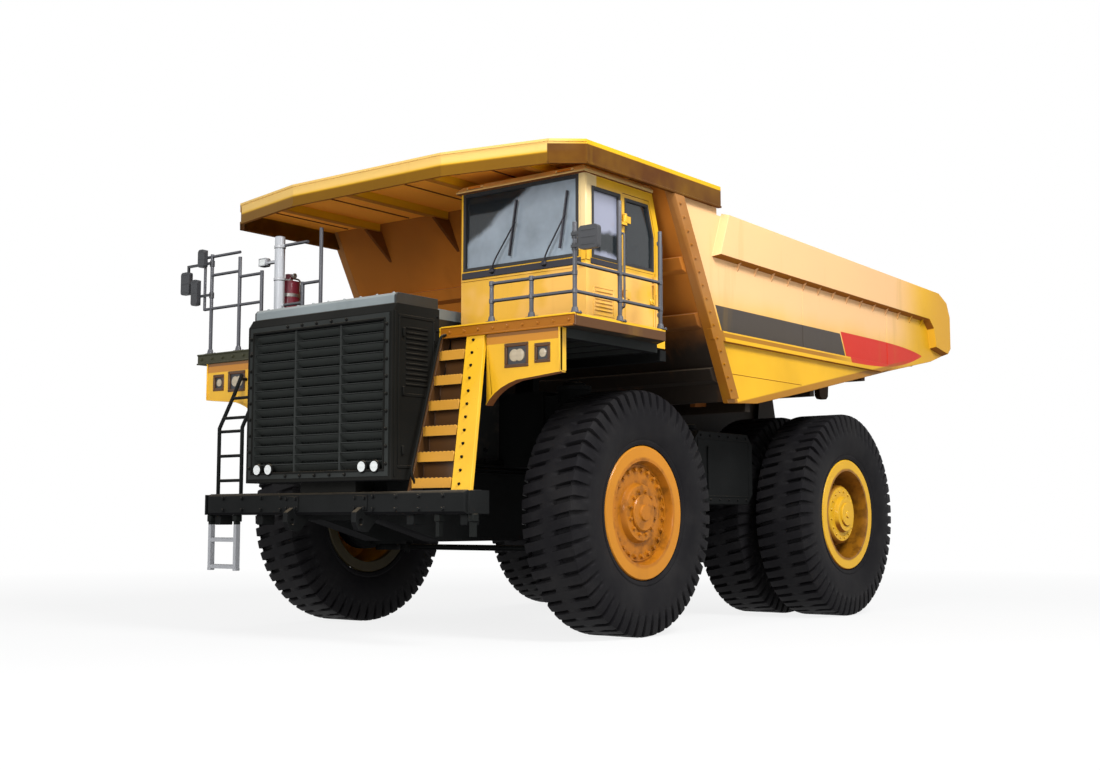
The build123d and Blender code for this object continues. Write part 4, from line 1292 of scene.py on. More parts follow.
# ================================================================ wheels
@dataclass
class RockTyre:
    """A rock tyre with deep shoulder lugs, a broad centre rib and a plain sidewall.

    Attributes:
        centre: where the tyre's middle meets its axle.
        radius: radius over the lugs.
        width: width over the sidewalls.
        bead: radius where the rubber meets the rim.
        lugs: lugs round each shoulder.
        groove: depth of the grooves between lugs.
        phases: corners within one lug's pitch, and whether each stands on the lug.
    """

    centre: Point
    radius: float = 1.33
    width: float = 0.74
    bead: float = 0.728
    lugs: int = 54
    groove: float = 0.058
    phases: tuple[tuple[float, bool], ...] = (
        (0.0, False), (0.14, False), (0.20, True), (0.32, True), (0.82, True), (0.88, False))

    def profile(self) -> list[tuple[float, float, float, float]]:
        """Rows over the tread from one bead to the other.

        Returns:
            For each row its place across, its radius, its groove depth and its turn in pitches.
        """
        half, top, bead = self.width / 2, self.radius, self.bead
        plain = [(half - 0.080, bead), (half - 0.058, bead + 0.010), (half - 0.046, bead + 0.045),
                 (half - 0.052, bead + 0.062), (half - 0.030, bead + 0.095),
                 (half - 0.006, top - 0.380), (half - 0.001, top - 0.300), (half - 0.002, top - 0.245)]
        side = [(across, radius, 0.0, 0.0) for across, radius in plain] + [
            (half, top - 0.225, 0.25, 0.0),
            (half - 0.008, top - 0.150, 0.6, 0.0),
            (half - 0.020, top - 0.085, 0.9, 0.0),
            (half - 0.034, top - 0.032, 1.0, 0.0),
            (half - 0.052, top - 0.008, 1.0, 0.04),
            (half - 0.090, top, 1.0, 0.10),
            (half * 0.50, top, 1.0, 0.22),
            (half * 0.30, top, 0.85, 0.34),
            (half * 0.24, top - 0.001, 0.25, 0.38),
            (0.03, top, 0.0, 0.46),
        ]
        return side + [(-x, r, depth, 1.0 - turn) for x, r, depth, turn in reversed(side)]

    def shape(self) -> Forge:
        """Shape the tyre, closed between its beads inside the rim.

        Returns:
            The gathered mesh.
        """
        forge = Forge()
        steps = [(k + phase, raised) for k in range(self.lugs) for phase, raised in self.phases]
        grid = []
        for across, radius, depth, turn in self.profile():
            shoulder = abs(across) > self.width / 2 - 0.06
            ring = []
            for step, raised in steps:
                angle = TURN * (step + turn) / self.lugs
                cut = 0.0 if raised else depth * self.groove
                reach = radius - (cut * 0.35 if shoulder else cut)
                inset = math.copysign(cut * 0.62, -across) if shoulder else 0.0
                spot = Vector((across + inset, reach * math.cos(angle), reach * math.sin(angle)))
                ring.append(Vector(self.centre) + spot)
            grid.append(forge.corners(ring))
        forge.skin(grid, closed=True)
        return forge


@dataclass
class Wheels(Assembly):
    """The six tyres and what is bolted to their rims.

    Attributes:
        front: place of the left front wheel's middle.
        rear: place of the left rear wheels' axle, with the outer tyre's x.
        inner_x: x of the left inner rear tyre.
    """

    front: tuple[float, float, float] = (2.085, -2.65, 1.33)
    rear: tuple[float, float, float] = (2.24, 1.92, 1.33)
    inner_x: float = 1.336

    def build(self) -> None:
        """Build every wheel piece."""
        for side, sign in SIDES:
            front, rear = f"{side}_front_wheel", f"{side}_rear_wheels"
            inner = (self.inner_x, *self.rear[1:])
            for name, spot, body, node in (
                    ("front", self.front, front, "front_tyre"),
                    ("rear_inner", inner, rear, "rear_tyres"),
                    ("rear_outer", self.rear, rear, "rear_tyres")):
                tyre = RockTyre((sign * spot[0], *spot[1:])).shape()
                self.piece(tyre, f"{side}_{name}_lugged_tyre", "tyre_black", "tyre_black", body,
                           (f"{side}_{node}",))
            self._front_rim(side, sign, front)
            self._rear_rim(side, sign, rear)

    def _front_rim(self, side: str, sign: int, body: str) -> None:
        """Build the front wheel's nuts and hub cover.

        Args:
            side: left or right.
            sign: 1 for the left side, -1 for the right.
            body: the wheel's body.
        """
        axis = (sign, 0, 0)
        x, *axle = self.front
        disc, face = (sign * (x + 0.225), *axle), (sign * (x + 0.285), *axle)
        nuts, hub = Forge(), Forge()
        nuts.bolt_ring(disc, axis, 0.47, 24, 0.042)
        nuts.bolt_ring(face, axis, 0.235, 12, 0.034)
        self.piece(nuts, f"{side}_front_wheel_nuts", "rim_yellow", "rim_yellow", body)
        hub.lathe([(-0.01, 0.20), (0.02, 0.20), (0.032, 0.188), (0.032, 0.09), (0.05, 0.08), (0.05, 0)],
                  face, axis, 40)
        hub.ring((sign * (x + 0.223), *axle), axis, 0.525, 0.505, 0.012, 64)
        self.piece(hub, f"{side}_front_hub_cover", "rim_yellow", "rim_yellow", body)

    def _rear_rim(self, side: str, sign: int, body: str) -> None:
        """Build the rear wheel's nuts and planetary cover.

        Args:
            side: left or right.
            sign: 1 for the left side, -1 for the right.
            body: the wheels' body.
        """
        axis = (sign, 0, 0)
        x, *axle = self.rear
        nuts, cover = Forge(), Forge()
        nuts.bolt_ring((sign * (x - 0.025), *axle), axis, 0.47, 28, 0.042)
        nuts.bolt_ring((sign * (x + 0.215), *axle), axis, 0.31, 16, 0.034)
        self.piece(nuts, f"{side}_rear_wheel_nuts", "rear_rim_yellow", "rim_yellow", body)
        cover.lathe([(-0.01, 0.155), (0.012, 0.155), (0.022, 0.145), (0.022, 0.05), (0.034, 0.042),
                     (0.034, 0)], (sign * (x + 0.29), *axle), axis, 36)
        self.piece(cover, f"{side}_rear_hub_cover", "rear_rim_yellow", "rim_yellow", body)


# ================================================================ nose of the truck
@dataclass
class Nose(Assembly):
    """Radiator shell, grille, bumper and what is bolted to them.

    Attributes:
        grille: half the width of the grille's opening.
        grille_z: lowest and highest edge of the opening.
        face_y: how far forward the shell's rim stands.
        lamp_x: places of the round lamps, each side of the middle.
        lamp_z: height of the round lamps.
    """

    grille: float = 0.99
    grille_z: Limits = (1.76, 3.27)
    face_y: float = 5.225
    lamp_x: Limits = (0.71, 0.89)
    lamp_z: float = 1.79

    def build(self) -> None:
        """Build the nose's pieces."""
        self._grille_trim()
        for side, sign in SIDES:
            self._shell_door(side, flank(sign))
        self._round_lamps()
        self._bumper_fittings()
        self._hood_fittings()

    def _grille_trim(self) -> None:
        """Build the fine mesh behind the louvres, the rim and its bolts."""
        (low, high), half, front = self.grille_z, self.grille, Face.FRONT
        mesh, trim = Forge(), Forge()
        for z in spread(low + 0.02, high - 0.02, 58):
            mesh.slab(front, (-half, half), about(z, 0.003), (5.065, 5.073), 0)
        for x in spread(-half + 0.02, half - 0.02, 46):
            mesh.slab(front, about(x, 0.003), (low, high), (5.0605, 5.068), 0)
        self.piece(mesh, "grille_mesh", "grille_black")
        trim.surround(front, (-half, half), (low, high), (5.222, 5.234), 0.022)
        rows = spread(low + 0.05, high - 0.05, 9)
        trim.bolts(front, (-half - 0.045, half + 0.045), rows, self.face_y, 0.026)
        trim.bolts(front, spread(-0.45, 0.45, 5), (low - 0.045, high + 0.045), self.face_y, 0.026)
        self.piece(trim, "grille_trim", "shell_black")

    def _shell_door(self, side: str, face: Face) -> None:
        """Build one side door of the shell with its seams, latches, hinges and vents.

        Args:
            side: left or right.
            face: the side that the door looks at.
        """
        door = Forge()
        door.surround(face, (-5.10, -4.62), (1.80, 3.30), (1.099, 1.109), 0.030)
        door.slab(face, (-5.06, -4.66), (2.50, 2.53), (1.099, 1.107), 0.003)
        door.slab(face, (-5.185, -5.160), (1.68, 3.36), (1.099, 1.108), 0.003)
        for z in (1.95, 2.55, 3.15):
            door.rod(face.spot(-4.606, z - 0.05, 1.108), face.spot(-4.606, z + 0.05, 1.108), 0.013, 10)
            door.slab(face, (-5.075, -5.045), about(z, 0.045), (1.106, 1.124))
        door.bolts(face, (-4.555,), spread(1.72, 3.36, 12), 1.100, 0.022)
        for z in spread(2.62, 3.20, 12):
            door.slab(face, (-5.02, -4.70), about(z, 0.010), (1.099, 1.114))
        self.piece(door, f"{side}_shell_door", "shell_black")

    def _round_lamps(self) -> None:
        """Build the round lamps' rims."""
        rims, front = Forge(), Face.FRONT
        for x in self.lamp_x:
            rims.ring(front.spot(x, self.lamp_z, 5.224), front.out, 0.064, 0.054, 0.024, 32, 0.003)
        rims.mirrored()
        self.piece(rims, "round_lamp_rims", "shell_black")

    def _bumper_fittings(self) -> None:
        """Build the bumper's rubber tread, bolts, end plates, brackets and blank plate."""
        fit, grip, front = Forge(), Forge(), Face.FRONT
        fit.bolts(front, (0.70, 1.02, 1.34, 1.66), (1.36, 1.49), 5.058, 0.036)
        fit.slab(front, (1.975, 1.998), (1.312, 1.538), (4.765, 5.055), 0.002)
        for x in (1.14, 1.86):
            fit.slab(front, about(x, 0.05), (1.20, 1.315), (4.80, 4.98), 0.008)
        fit.slab(front, (0.42, 0.62), (1.345, 1.505), (5.055, 5.075), 0.006)
        fit.bolts(front, (0.45, 0.59), (1.375, 1.475), 5.075, 0.03)
        fit.mirrored()
        self.piece(fit, "bumper_fittings", "frame_charcoal")
        for x in spread(1.18, 1.92, 22):
            grip.slab(front, about(x, 0.011), (1.539, 1.546), (4.80, 5.03), 0.002)
        grip.mirrored()
        self.piece(grip, "bumper_step_grip", "seal_rubber")

    def _hood_fittings(self) -> None:
        """Build the hood's seams, lifting eyes, latches and filler cap."""
        fit = Forge()
        fit.bolts(Face.TOP, spread(-0.96, 0.96, 9), (-5.06,), 3.555, 0.026)
        for x in (-0.52, 0.52):
            fit.slab(Face.TOP, about(x, 0.012), (-5.00, -4.58), (3.550, 3.560), 0.003)
            fit.ring((x, -4.40, 3.545), UP, 0.05, 0.028, 0.03, 24)
        fit.slab(Face.TOP, (-0.60, 0.60), (-4.545, -4.505), (3.548, 3.572), 0.005)
        fit.lathe([(0, 0.085), (0.018, 0.085), (0.03, 0.078), (0.03, 0.05), (0.048, 0.045), (0.048, 0)],
                  (0, -4.80, 3.553), UP, 32)
        self.piece(fit, "hood_fittings", "hood_grey", "body_yellow")


# ================================================================ decks, fenders and stairs
@dataclass
class Decks(Assembly):
    """Walking decks, fender lamps, stairs and ladders.

    Attributes:
        plates: x and y limits of each side's anti-slip plates, x counted from the middle.
        lamps: middle, height, width and height of each fender lamp.
        lip: x and z of each corner of the fender's lower edge.
        foot: y and z where the stair's lean starts.
        top: y and z where it ends.
        pillar: x of the stair's pillar at its foot, and how far it comes in by its top.
        steps: how many treads it has.
    """

    plates: dict[str, tuple[tuple[Limits, Limits], ...]] = field(default_factory=lambda: {
        "left": (((0.70, 2.82), (-4.47, -3.85)), ((2.52, 2.82), (-3.82, -2.98))),
        "right": (((0.70, 1.36), (-4.47, -2.52)), ((1.76, 2.40), (-4.47, -2.52)),
                  ((2.42, 2.82), (-4.47, -2.98)))})
    lamps: tuple[tuple[float, float, float, float], ...] = (
        (2.14, 2.89, 0.30, 0.24), (2.47, 2.89, 0.19, 0.19))
    lip: Profile = ((1.752, 2.408), (1.80, 2.468), (1.87, 2.528), (1.95, 2.576), (2.05, 2.616),
                    (2.15, 2.644), (2.42, 2.668), (2.682, 2.692))
    foot: Limits = (-5.0, 1.54)
    top: Limits = (-4.52, 3.13)
    pillar: Limits = (1.71, 0.23)
    steps: int = 6

    def build(self) -> None:
        """Build the deck's pieces."""
        for side, sign in SIDES:
            self._walkway(side, sign)
        self._deck_edges()
        for side, sign in SIDES:
            self._fender_lamps(side, sign)
        for side, sign in SIDES:
            self._fender_lip(side, sign)
        self._stair()
        self._ladder_fittings()

    def _walkway(self, side: str, sign: int) -> None:
        """Lay one deck's anti-slip plates, with their hold-down bolts.

        Args:
            side: left or right.
            sign: 1 for the left side, -1 for the right.
        """
        plate = Forge()
        for (x0, x1), (y0, y1) in self.plates[side]:
            plate.slab(Face.TOP, sorted((sign * x0, sign * x1)), (y0, y1), (3.248, 3.256), 0.002)
            columns = (sign * (x0 + 0.04), sign * (x1 - 0.04))
            plate.bolts(Face.TOP, columns, spread(y0 + 0.04, y1 - 0.04, 4), 3.256, 0.020)
        self.piece(plate, f"{side}_deck_plate", "tread_plate", "body_yellow")

    def _deck_edges(self) -> None:
        """Build the deck's front lip with its bolts, and the underside ribs."""
        edge, ribs, front = Forge(), Forge(), Face.FRONT
        edge.slab(front, (1.13, 2.875), (3.235, 3.255), (4.515, 4.535))
        edge.slab(front, (1.13, 2.875), (3.128, 3.146), (4.515, 4.540))
        edge.bolts(front, spread(1.25, 2.80, 9), (3.19,), 4.52, 0.026)
        edge.mirrored()
        self.piece(edge, "deck_edges", "deck_yellow", "body_yellow")
        for y in (-4.10, -3.70, -3.30, -2.90):
            ribs.slab(Face.TOP, (0.70, 2.60), about(y, 0.03), (3.03, 3.131))
        ribs.slab(Face.TOP, (2.60, 2.68), (-4.40, -2.80), (3.03, 3.131))
        ribs.mirrored()
        self.piece(ribs, "deck_ribs", "grille_black", "body_yellow")

    def _fender_lamps(self, side: str, sign: int) -> None:
        """Build one fender's lamp bezels, with their bolts, and their lenses.

        Args:
            side: left or right.
            sign: 1 for the left side, -1 for the right.
        """
        rim, lens, front = Forge(), Forge(), Face.FRONT
        for x, z, wide, high in self.lamps:
            middle = sign * x
            half_wide, half_high = wide / 2 - 0.030, high / 2 - 0.030
            rim.surround(front, about(middle, half_wide), about(z, half_high), (4.500, 4.527), 0.034, 0.004)
            reach = min(half_wide, half_high) * 0.88
            for place in (middle,) if wide < 0.25 else about(middle, 0.035):
                lens.lathe([(0.0, reach * 0.8), (0.010, reach * 0.76), (0.014, reach * 0.5), (0.016, 0)],
                           front.spot(place, z, 4.506), front.out, 32)
            rim.bolts(front, about(middle, wide / 2 - 0.014), about(z, high / 2 - 0.014), 4.526, 0.014)
        self.piece(rim, f"{side}_lamp_rims", "lamp_brown", "console_plastic")
        self.piece(lens, f"{side}_lamp_lenses", "fender_lens", "lamp_glass")

    def _fender_lip(self, side: str, sign: int) -> None:
        """Fold a lip along one fender's lower edge and add its side return.

        Args:
            side: left or right.
            sign: 1 for the left side, -1 for the right.
        """
        lip = Forge()
        for (x0, z0), (x1, z1) in zip(self.lip, self.lip[1:]):
            lip.prism([(sign * x0, -4.532, z0 - 0.004), (sign * x1, -4.532, z1 - 0.004),
                       (sign * x1, -4.532, z1 + 0.016), (sign * x0, -4.532, z0 + 0.016)], (0, 0.11, 0))
        lip.slab(Face.FRONT, sorted((sign * 2.674, sign * 2.690)), (2.70, 3.13), (4.42, 4.53), 0.003)
        self.piece(lip, f"{side}_fender_lip", "body_yellow", "body_yellow")

    def _lean(self, share: float) -> tuple[float, float, float]:
        """The pillar's x and the front line's y and z at a share of the stair's height."""
        y, z = (a + (b - a) * share for a, b in zip(self.foot, self.top))
        return self.pillar[0] - self.pillar[1] * share, y, z

    def _stair(self) -> None:
        """Build open grip treads over the stair's plates, dark nosings, a rail and bolts."""
        tread, nose, rail, top = Forge(), Forge(), Forge(), Face.TOP
        for i in range(self.steps):
            x, y, z = self._lean((i + 0.45) / self.steps)
            outer = x - 0.01
            for x in spread(1.165, outer - 0.02, 17):
                tread.slab(top, about(x, 0.004), (y + 0.03, y + 0.165), (z - 0.002, z + 0.016), 0.001)
            for along in (0.045, 0.095, 0.145):
                tread.slab(top, (1.155, outer), about(y + along, 0.004), (z, z + 0.012), 0.001)
            nose.slab(top, (1.152, outer), (y - 0.010, y + 0.018), (z - 0.092, z + 0.008), 0.003)
            for x in spread(1.18, outer - 0.03, 9):
                nose.slab(top, about(x, 0.010), (y, y + 0.016), (z + 0.006, z + 0.014), 0.002)
        self.piece(tread, "stair_grip_treads", "grille_black", "body_yellow")
        self.piece(nose, "stair_nosings", "shaded_step_brown", "body_yellow")
        rail.pipe([(1.19, y, z) for y, z in (
            (-4.965, 1.62), (-5.025, 1.72), (-4.60, 3.15), (-4.50, 3.17))], 0.014)
        for share in spread(0.04, 0.97, 12):
            x, y, z = self._lean(share)
            rail.bolt((x + 0.10, y - 0.004, z), (0, -1, 0.3), 0.022)
        self.piece(rail, "stair_fittings", "shell_black", "body_yellow")

    def _ladder_fittings(self) -> None:
        """Build the ladders' hangers, grips and rubber feet."""
        fit, front = Forge(), Face.FRONT
        stiles = (1.532, 1.973)
        for x in stiles:
            fit.slab(front, about(x, 0.035), (1.235, 1.312), (4.925, 5.012), 0.006)
            for y in (-4.992, -4.948):
                fit.rod((x - 0.03, y, 1.265), (x + 0.03, y, 1.265), 0.010, 8)
        fit.mirrored()
        for x in stiles:
            fit.slab(front, about(-x, 0.026), (0.69, 0.72), (4.935, 5.005), 0.006)
        for z in (0.752, 1.052):
            for x in spread(-1.925, -1.585, 8):
                fit.slab(front, about(x, 0.012), (z - 0.004, z + 0.006), (4.942, 4.998), 0.002)
        self.piece(fit, "ladder_fittings", "ladder_grey")


# ================================================================ rails, mirrors and deck fittings
@dataclass
class Rails(Assembly):
    """Post flanges, clamps, mirrors' faces, the lamp mast's fittings and the fire bottle's valve.

    Attributes:
        posts: x and y of every rail post, the cab's first.
        cab_posts: how many of them carry the cab's rails.
        mast: x and y of the post that carries the work lamp.
        heads: across and up limits of each mirror head.
        clamps: x and z of each mirror clamp's foot.
        bottle: x and y of the fire bottle's middle.
    """

    posts: Profile = (
        (1.78, -4.48), (2.30, -4.48), (2.84, -4.48), (2.84, -3.72), (2.84, -2.98),
        (-2.69, -4.48), (-2.17, -4.48), (-1.77, -4.48), (-1.06, -4.48), (-0.76, -4.48), (-1.46, -4.48))
    cab_posts: int = 5
    mast: Limits = (-1.46, -4.48)
    heads: tuple[tuple[float, float, float, float], ...] = (
        (2.95, 3.18, 3.85, 4.08), (-2.86, -2.74, 4.32, 4.54), (-2.98, -2.86, 3.86, 4.18),
        (-3.18, -3.02, 4.01, 4.29))
    clamps: Profile = ((2.84, 3.87), (2.84, 3.99), (-2.69, 4.33), (-2.69, 3.94))
    bottle: Limits = (-1.555, -4.25)

    def build(self) -> None:
        """Build the pieces."""
        self._flanges()
        self._mirrors()
        self._mast()
        self._fire_bottle()

    def _flanges(self) -> None:
        """Build the plate and bolts under each post, and the sockets at the cab's rails."""
        base = Forge()
        for x, y in self.posts:
            wide = 0.090 if (x, y) == self.mast else 0.052
            base.slab(Face.TOP, about(x, wide), (y - 0.040, y + 0.052), (3.249, 3.263), 0.003)
            base.lathe([(0, wide * 0.78), (0.05, wide * 0.55), (0.05, 0.02)], (x, y, 3.262), UP, 18)
            base.bolts(Face.TOP, about(x, wide * 0.78), (y + 0.036,), 3.263, 0.018)
        for x, y in self.posts[:self.cab_posts]:
            for z in (3.47, 3.65 if y == -4.48 else 3.75):
                base.lathe([(0, 0.024), (0.004, 0.028), (0.046, 0.028), (0.05, 0.024)],
                           (x, y, z - 0.025), UP, 16)
        self.piece(base, "rail_flanges", "rail_grey", "rail_grey")

    def _mirrors(self) -> None:
        """Build the mirrors' rear-facing faces, ribs and clamps."""
        faces, trim = Forge(), Forge()
        for x0, x1, z0, z1 in self.heads:
            inset = min(x1 - x0, z1 - z0) * 0.12
            wide, high = (x0 + inset, x1 - inset), (z0 + inset, z1 - inset)
            faces.slab(Face.REAR, wide, high, (-4.514, -4.506), 0.006)
            trim.surround(Face.REAR, wide, high, (-4.515, -4.503), inset * 0.5)
            for z in spread(z0 + inset * 1.6, z1 - inset * 1.6, 3):
                trim.slab(Face.FRONT, wide, about(z, 0.006), (4.560, 4.574), 0.003)
        for x, z in self.clamps:
            trim.lathe([(0, 0.030), (0.07, 0.030), (0.07, 0.02)], (x, -4.48, z), UP, 16)
        self.piece(faces, "mirror_faces", "mirror_silver", "window_glass")
        self.piece(trim, "mirror_trim", "console_plastic")

    def _mast(self) -> None:
        """Build the work lamp, its bracket and the mast's bands."""
        fit, lens, front = Forge(), Forge(), Face.FRONT
        fit.slab(front, (-1.775, -1.655), (4.215, 4.315), (4.44, 4.53), 0.014)
        fit.surround(front, (-1.762, -1.668), (4.228, 4.302), (4.525, 4.536), 0.010, 0.002)
        fit.slab(front, (-1.66, -1.51), (4.235, 4.275), (4.465, 4.505), 0.010)
        for z in (3.62, 4.02, 4.40):
            fit.lathe([(0, 0.061), (0.006, 0.068), (0.034, 0.068), (0.04, 0.061)], (*self.mast, z), UP, 24)
        self.piece(fit, "mast_fittings", "pale_grey", "rail_grey")
        lens.slab(front, (-1.760, -1.670), (4.230, 4.300), (4.526, 4.533), 0.003)
        self.piece(lens, "work_lamp_lens", "lamp_glass", "lamp_glass")

    def _fire_bottle(self) -> None:
        """Build the bottle's bands, valve, gauge and rigid line."""
        fit, (x, y) = Forge(), self.bottle
        for z in (3.42, 3.86):
            fit.ring((x, y, z), UP, 0.131, 0.1245, 0.04, 40, 0.002)
            fit.slab(Face.FRONT, (-1.60, -1.51), (z, z + 0.04), (4.10, 4.13), 0.003)
        fit.slab(Face.FRONT, (-1.60, -1.51), (3.25, 3.95), (4.085, 4.102))
        fit.lathe([(0, 0.046), (0.03, 0.046), (0.04, 0.036), (0.085, 0.036), (0.085, 0)],
                  (x, y, 4.05), UP, 20)
        fit.rod((x, y, 4.115), (-1.46, y, 4.115), 0.014)
        fit.ring((-1.465, y, 4.115), (1, 0, 0), 0.030, 0.010, 0.016, 20, 0.002)
        fit.pipe([(x, -4.21, 4.10), (x, -4.07, 4.10), (x, -4.06, 3.60), (-1.30, -4.06, 3.40),
                  (-1.30, -4.06, 3.26)], 0.011)
        self.piece(fit, "bottle_valve", "bolt_steel", "bottle_red")


# ================================================================ cab
@dataclass
class Cab(Assembly):
    """Window seals, wipers, roof trim, door fittings, seat and controls.

    Attributes:
        front: x and z of the windscreen's corners.
        side: y and z of the left side window's corners.
        door: y and z of the door window's corners.
        rear: x and z of the rear window's corners.
        far: y and z of the right side window's corners.
    """

    front: Profile = ((0.80, 4.00), (2.34, 4.00), (2.34, 4.82), (0.80, 4.82))
    side: Profile = ((-3.66, 3.99), (-3.19, 3.99), (-3.19, 4.70), (-3.66, 4.70))
    door: Profile = ((-3.06, 3.99), (-2.545, 3.99), (-2.545, 4.35), (-2.650, 4.685), (-3.06, 4.685))
    rear: Profile = ((1.00, 3.99), (2.20, 3.99), (2.20, 4.31), (1.00, 4.31))
    far: Profile = ((-3.60, 3.99), (-2.58, 3.99), (-2.58, 4.35), (-2.690, 4.70), (-3.60, 4.70))

    def build(self) -> None:
        """Build the cab's pieces."""
        self._seals()
        self._wipers()
        self._roof_trim()
        self._door_fittings()
        self._panel_seams()
        self._seat()
        self._controls()

    def _seals(self) -> None:
        """Build the black seals round every pane."""
        seal, door = Forge(), Forge()
        for face, window, out in (
                (Face.FRONT, self.front, (3.774, 3.788)), (Face.LEFT, self.side, (2.454, 2.467)),
                (Face.REAR, self.rear, (-2.406, -2.393)), (Face.RIGHT, self.far, (-0.746, -0.733))):
            seal.gasket(face, window, out, 0.034, 0.010)
            seal.gasket(face, window, (out[0] - 0.045, out[0]), 0.012, 0.012)
        self.piece(seal, "window_seals", "seal_rubber", "window_glass")
        door.gasket(Face.LEFT, self.door, (2.448, 2.460), 0.030, 0.010)
        door.gasket(Face.LEFT, self.door, (2.408, 2.448), 0.012, 0.012)
        self.piece(door, "door_window_seal", "seal_rubber", "window_glass", "cab_door")

    def _wipers(self) -> None:
        """Build two wipers, each with a motor cap, an arm and a blade, and the cowl bars."""
        wipe, front = Forge(), Face.FRONT
        for x, lean in ((1.20, 0.34), (1.92, 0.30)):
            pivot, tip = front.spot(x, 3.945, 3.79), front.spot(x + lean, 4.44, 3.815)
            wipe.lathe([(0, 0.034), (0.02, 0.032), (0.032, 0.02), (0.032, 0)], pivot, front.out, 18)
            wipe.pipe([pivot + Vector((0, -0.026, 0)), pivot + Vector((lean * 0.2, -0.034, 0.12)), tip],
                      0.0085, 8)
            middle, reach = tip - Vector((lean * 0.12, 0, 0.06)), Vector((0.05, 0, 0.30))
            low, high, deep = middle - reach, middle + reach, Vector((0, 0.030, 0))
            wipe.rod(low, high, 0.008, 8)
            wipe.prism([low, low + deep, high + deep, high], (0.006, 0, 0))
        wipe.slab(front, (0.760, 2.395), (3.888, 3.962), (3.778, 3.792), 0.005)
        wipe.slab(Face.LEFT, (-3.705, -3.135), (3.900, 3.957), (2.458, 2.468))
        self.piece(wipe, "wipers", "cowl_dark", "console_plastic")

    def _roof_trim(self) -> None:
        """Build the roof's drip rail, front visor, marker lamps and lifting eyes."""
        trim, lamps, front = Forge(), Forge(), Face.FRONT
        trim.slab(front, (0.715, 2.485), (4.845, 4.868), (3.785, 3.845), 0.005)
        trim.slab(Face.LEFT, (-3.84, -2.57), (4.842, 4.864), (2.452, 2.488), 0.005)
        trim.slab(Face.RIGHT, (-3.84, -2.57), (4.842, 4.864), (-0.748, -0.712), 0.005)
        for x in (0.86, 2.34):
            trim.ring((x, -2.62, 4.93), (0, 1, 0), 0.030, 0.014, 0.012, 20, 0.002)
        for x in (0.98, 2.22):
            trim.slab(front, about(x, 0.12), (4.872, 4.905), (3.800, 3.842), 0.008)
            lamps.slab(front, about(x, 0.09), (4.878, 4.900), (3.838, 3.8445), 0.003)
        self.piece(trim, "roof_trim", "roof_cream", "body_yellow")
        self.piece(lamps, "roof_marker_lamps", "amber_lens", "lamp_glass")

    def _door_fittings(self) -> None:
        """Build the door's seam, handle, lock and hinges, and the grab rails beside it."""
        fit, grab, left = Forge(), Forge(), Face.LEFT
        fit.surround(left, (-3.07, -2.54), (3.36, 3.94), (2.452, 2.459), 0.012, 0.002)
        fit.slab(left, (-2.600, -2.512), (3.60, 3.67), (2.452, 2.468), 0.006)
        fit.lathe([(0, 0.018), (0.010, 0.016), (0.010, 0.006), (0.006, 0)],
                  (2.466, -2.555, 3.635), left.out, 16)
        for z in (3.66, 4.48):
            fit.lathe([(0, 0.021), (0.006, 0.025), (0.012, 0.025), (0.018, 0.021)],
                      (2.486, -3.115, z + 0.02), UP, 16)
            fit.bolts(left, (-3.09, -3.05), (z - 0.025,), 2.455, 0.016)
        self.piece(fit, "door_fittings", "body_yellow", "body_yellow", "cab_door")
        for y in (-3.157, -2.445):
            grab.pipe([(2.458, y, 3.50), (2.505, y, 3.50), (2.505, y, 4.30), (2.458, y, 4.30)],
                      0.0125, 10, 0.03)
            for z in (3.50, 4.30):
                grab.ring((2.459, y, z), left.out, 0.026, 0.012, 0.007, 20, 0.002)
        self.piece(grab, "cab_grab_rails", "rail_grey", "rail_grey")

    def _panel_seams(self) -> None:
        """Build the cab's corner post, belt line, foot bolts and vent."""
        seam, front, left = Forge(), Face.FRONT, Face.LEFT
        seam.slab(front, (2.400, 2.461), (3.93, 4.85), (3.778, 3.790), 0.006)
        seam.slab(left, (-3.782, -3.715), (3.93, 4.85), (2.458, 2.468), 0.005)
        seam.slab(front, (0.745, 2.455), (3.860, 3.880), (3.778, 3.790))
        seam.slab(left, (-3.775, -3.135), (3.860, 3.880), (2.458, 2.468))
        seam.bolts(front, spread(0.80, 2.40, 9), (3.33,), 3.78, 0.018)
        for z in spread(3.42, 3.62, 6):
            seam.slab(left, (-3.62, -3.32), (z, z + 0.014), (2.458, 2.472), 0.003)
        seam.surround(left, (-3.64, -3.30), (3.39, 3.66), (2.458, 2.466), 0.018)
        self.piece(seam, "cab_seams", "cab_yellow", "body_yellow")

    def _seat(self) -> None:
        """Build the seat's pan, post and two crowned cushions."""
        base = Forge()
        base.lathe([(0, 0.13), (0.02, 0.13), (0.03, 0.09), (0.20, 0.08), (0.21, 0.12), (0.235, 0.12)],
                   (1.64, -2.96, 3.312), UP, 28)
        base.block((1.43, -3.13, 3.545), (1.85, -2.70, 3.580), 0.012)
        base.block((1.50, -2.68, 3.60), (1.78, -2.655, 4.30), 0.010)
        for x in (1.405, 1.865):
            base.block((x - 0.022, -3.02, 3.80), (x + 0.022, -2.74, 3.835), 0.012)
            base.rod((x, -2.76, 3.62), (x, -2.76, 3.81), 0.012, 10)
        self.piece(base, "seat_frame", "console_plastic", "console_plastic", replaces=("operator_seat",))
        for name, middle, half, lean in (("seat_cushion", (1.64, -2.92, 3.638), (0.232, 0.232, 0.060), 0.0),
                                         ("seat_back", (1.64, -2.735, 4.03), (0.225, 0.062, 0.37), 0.12)):
            pad = Forge()
            pad.cushion(middle, half, lean)
            self.piece(pad, name, "seat_fabric", "seat_fabric")

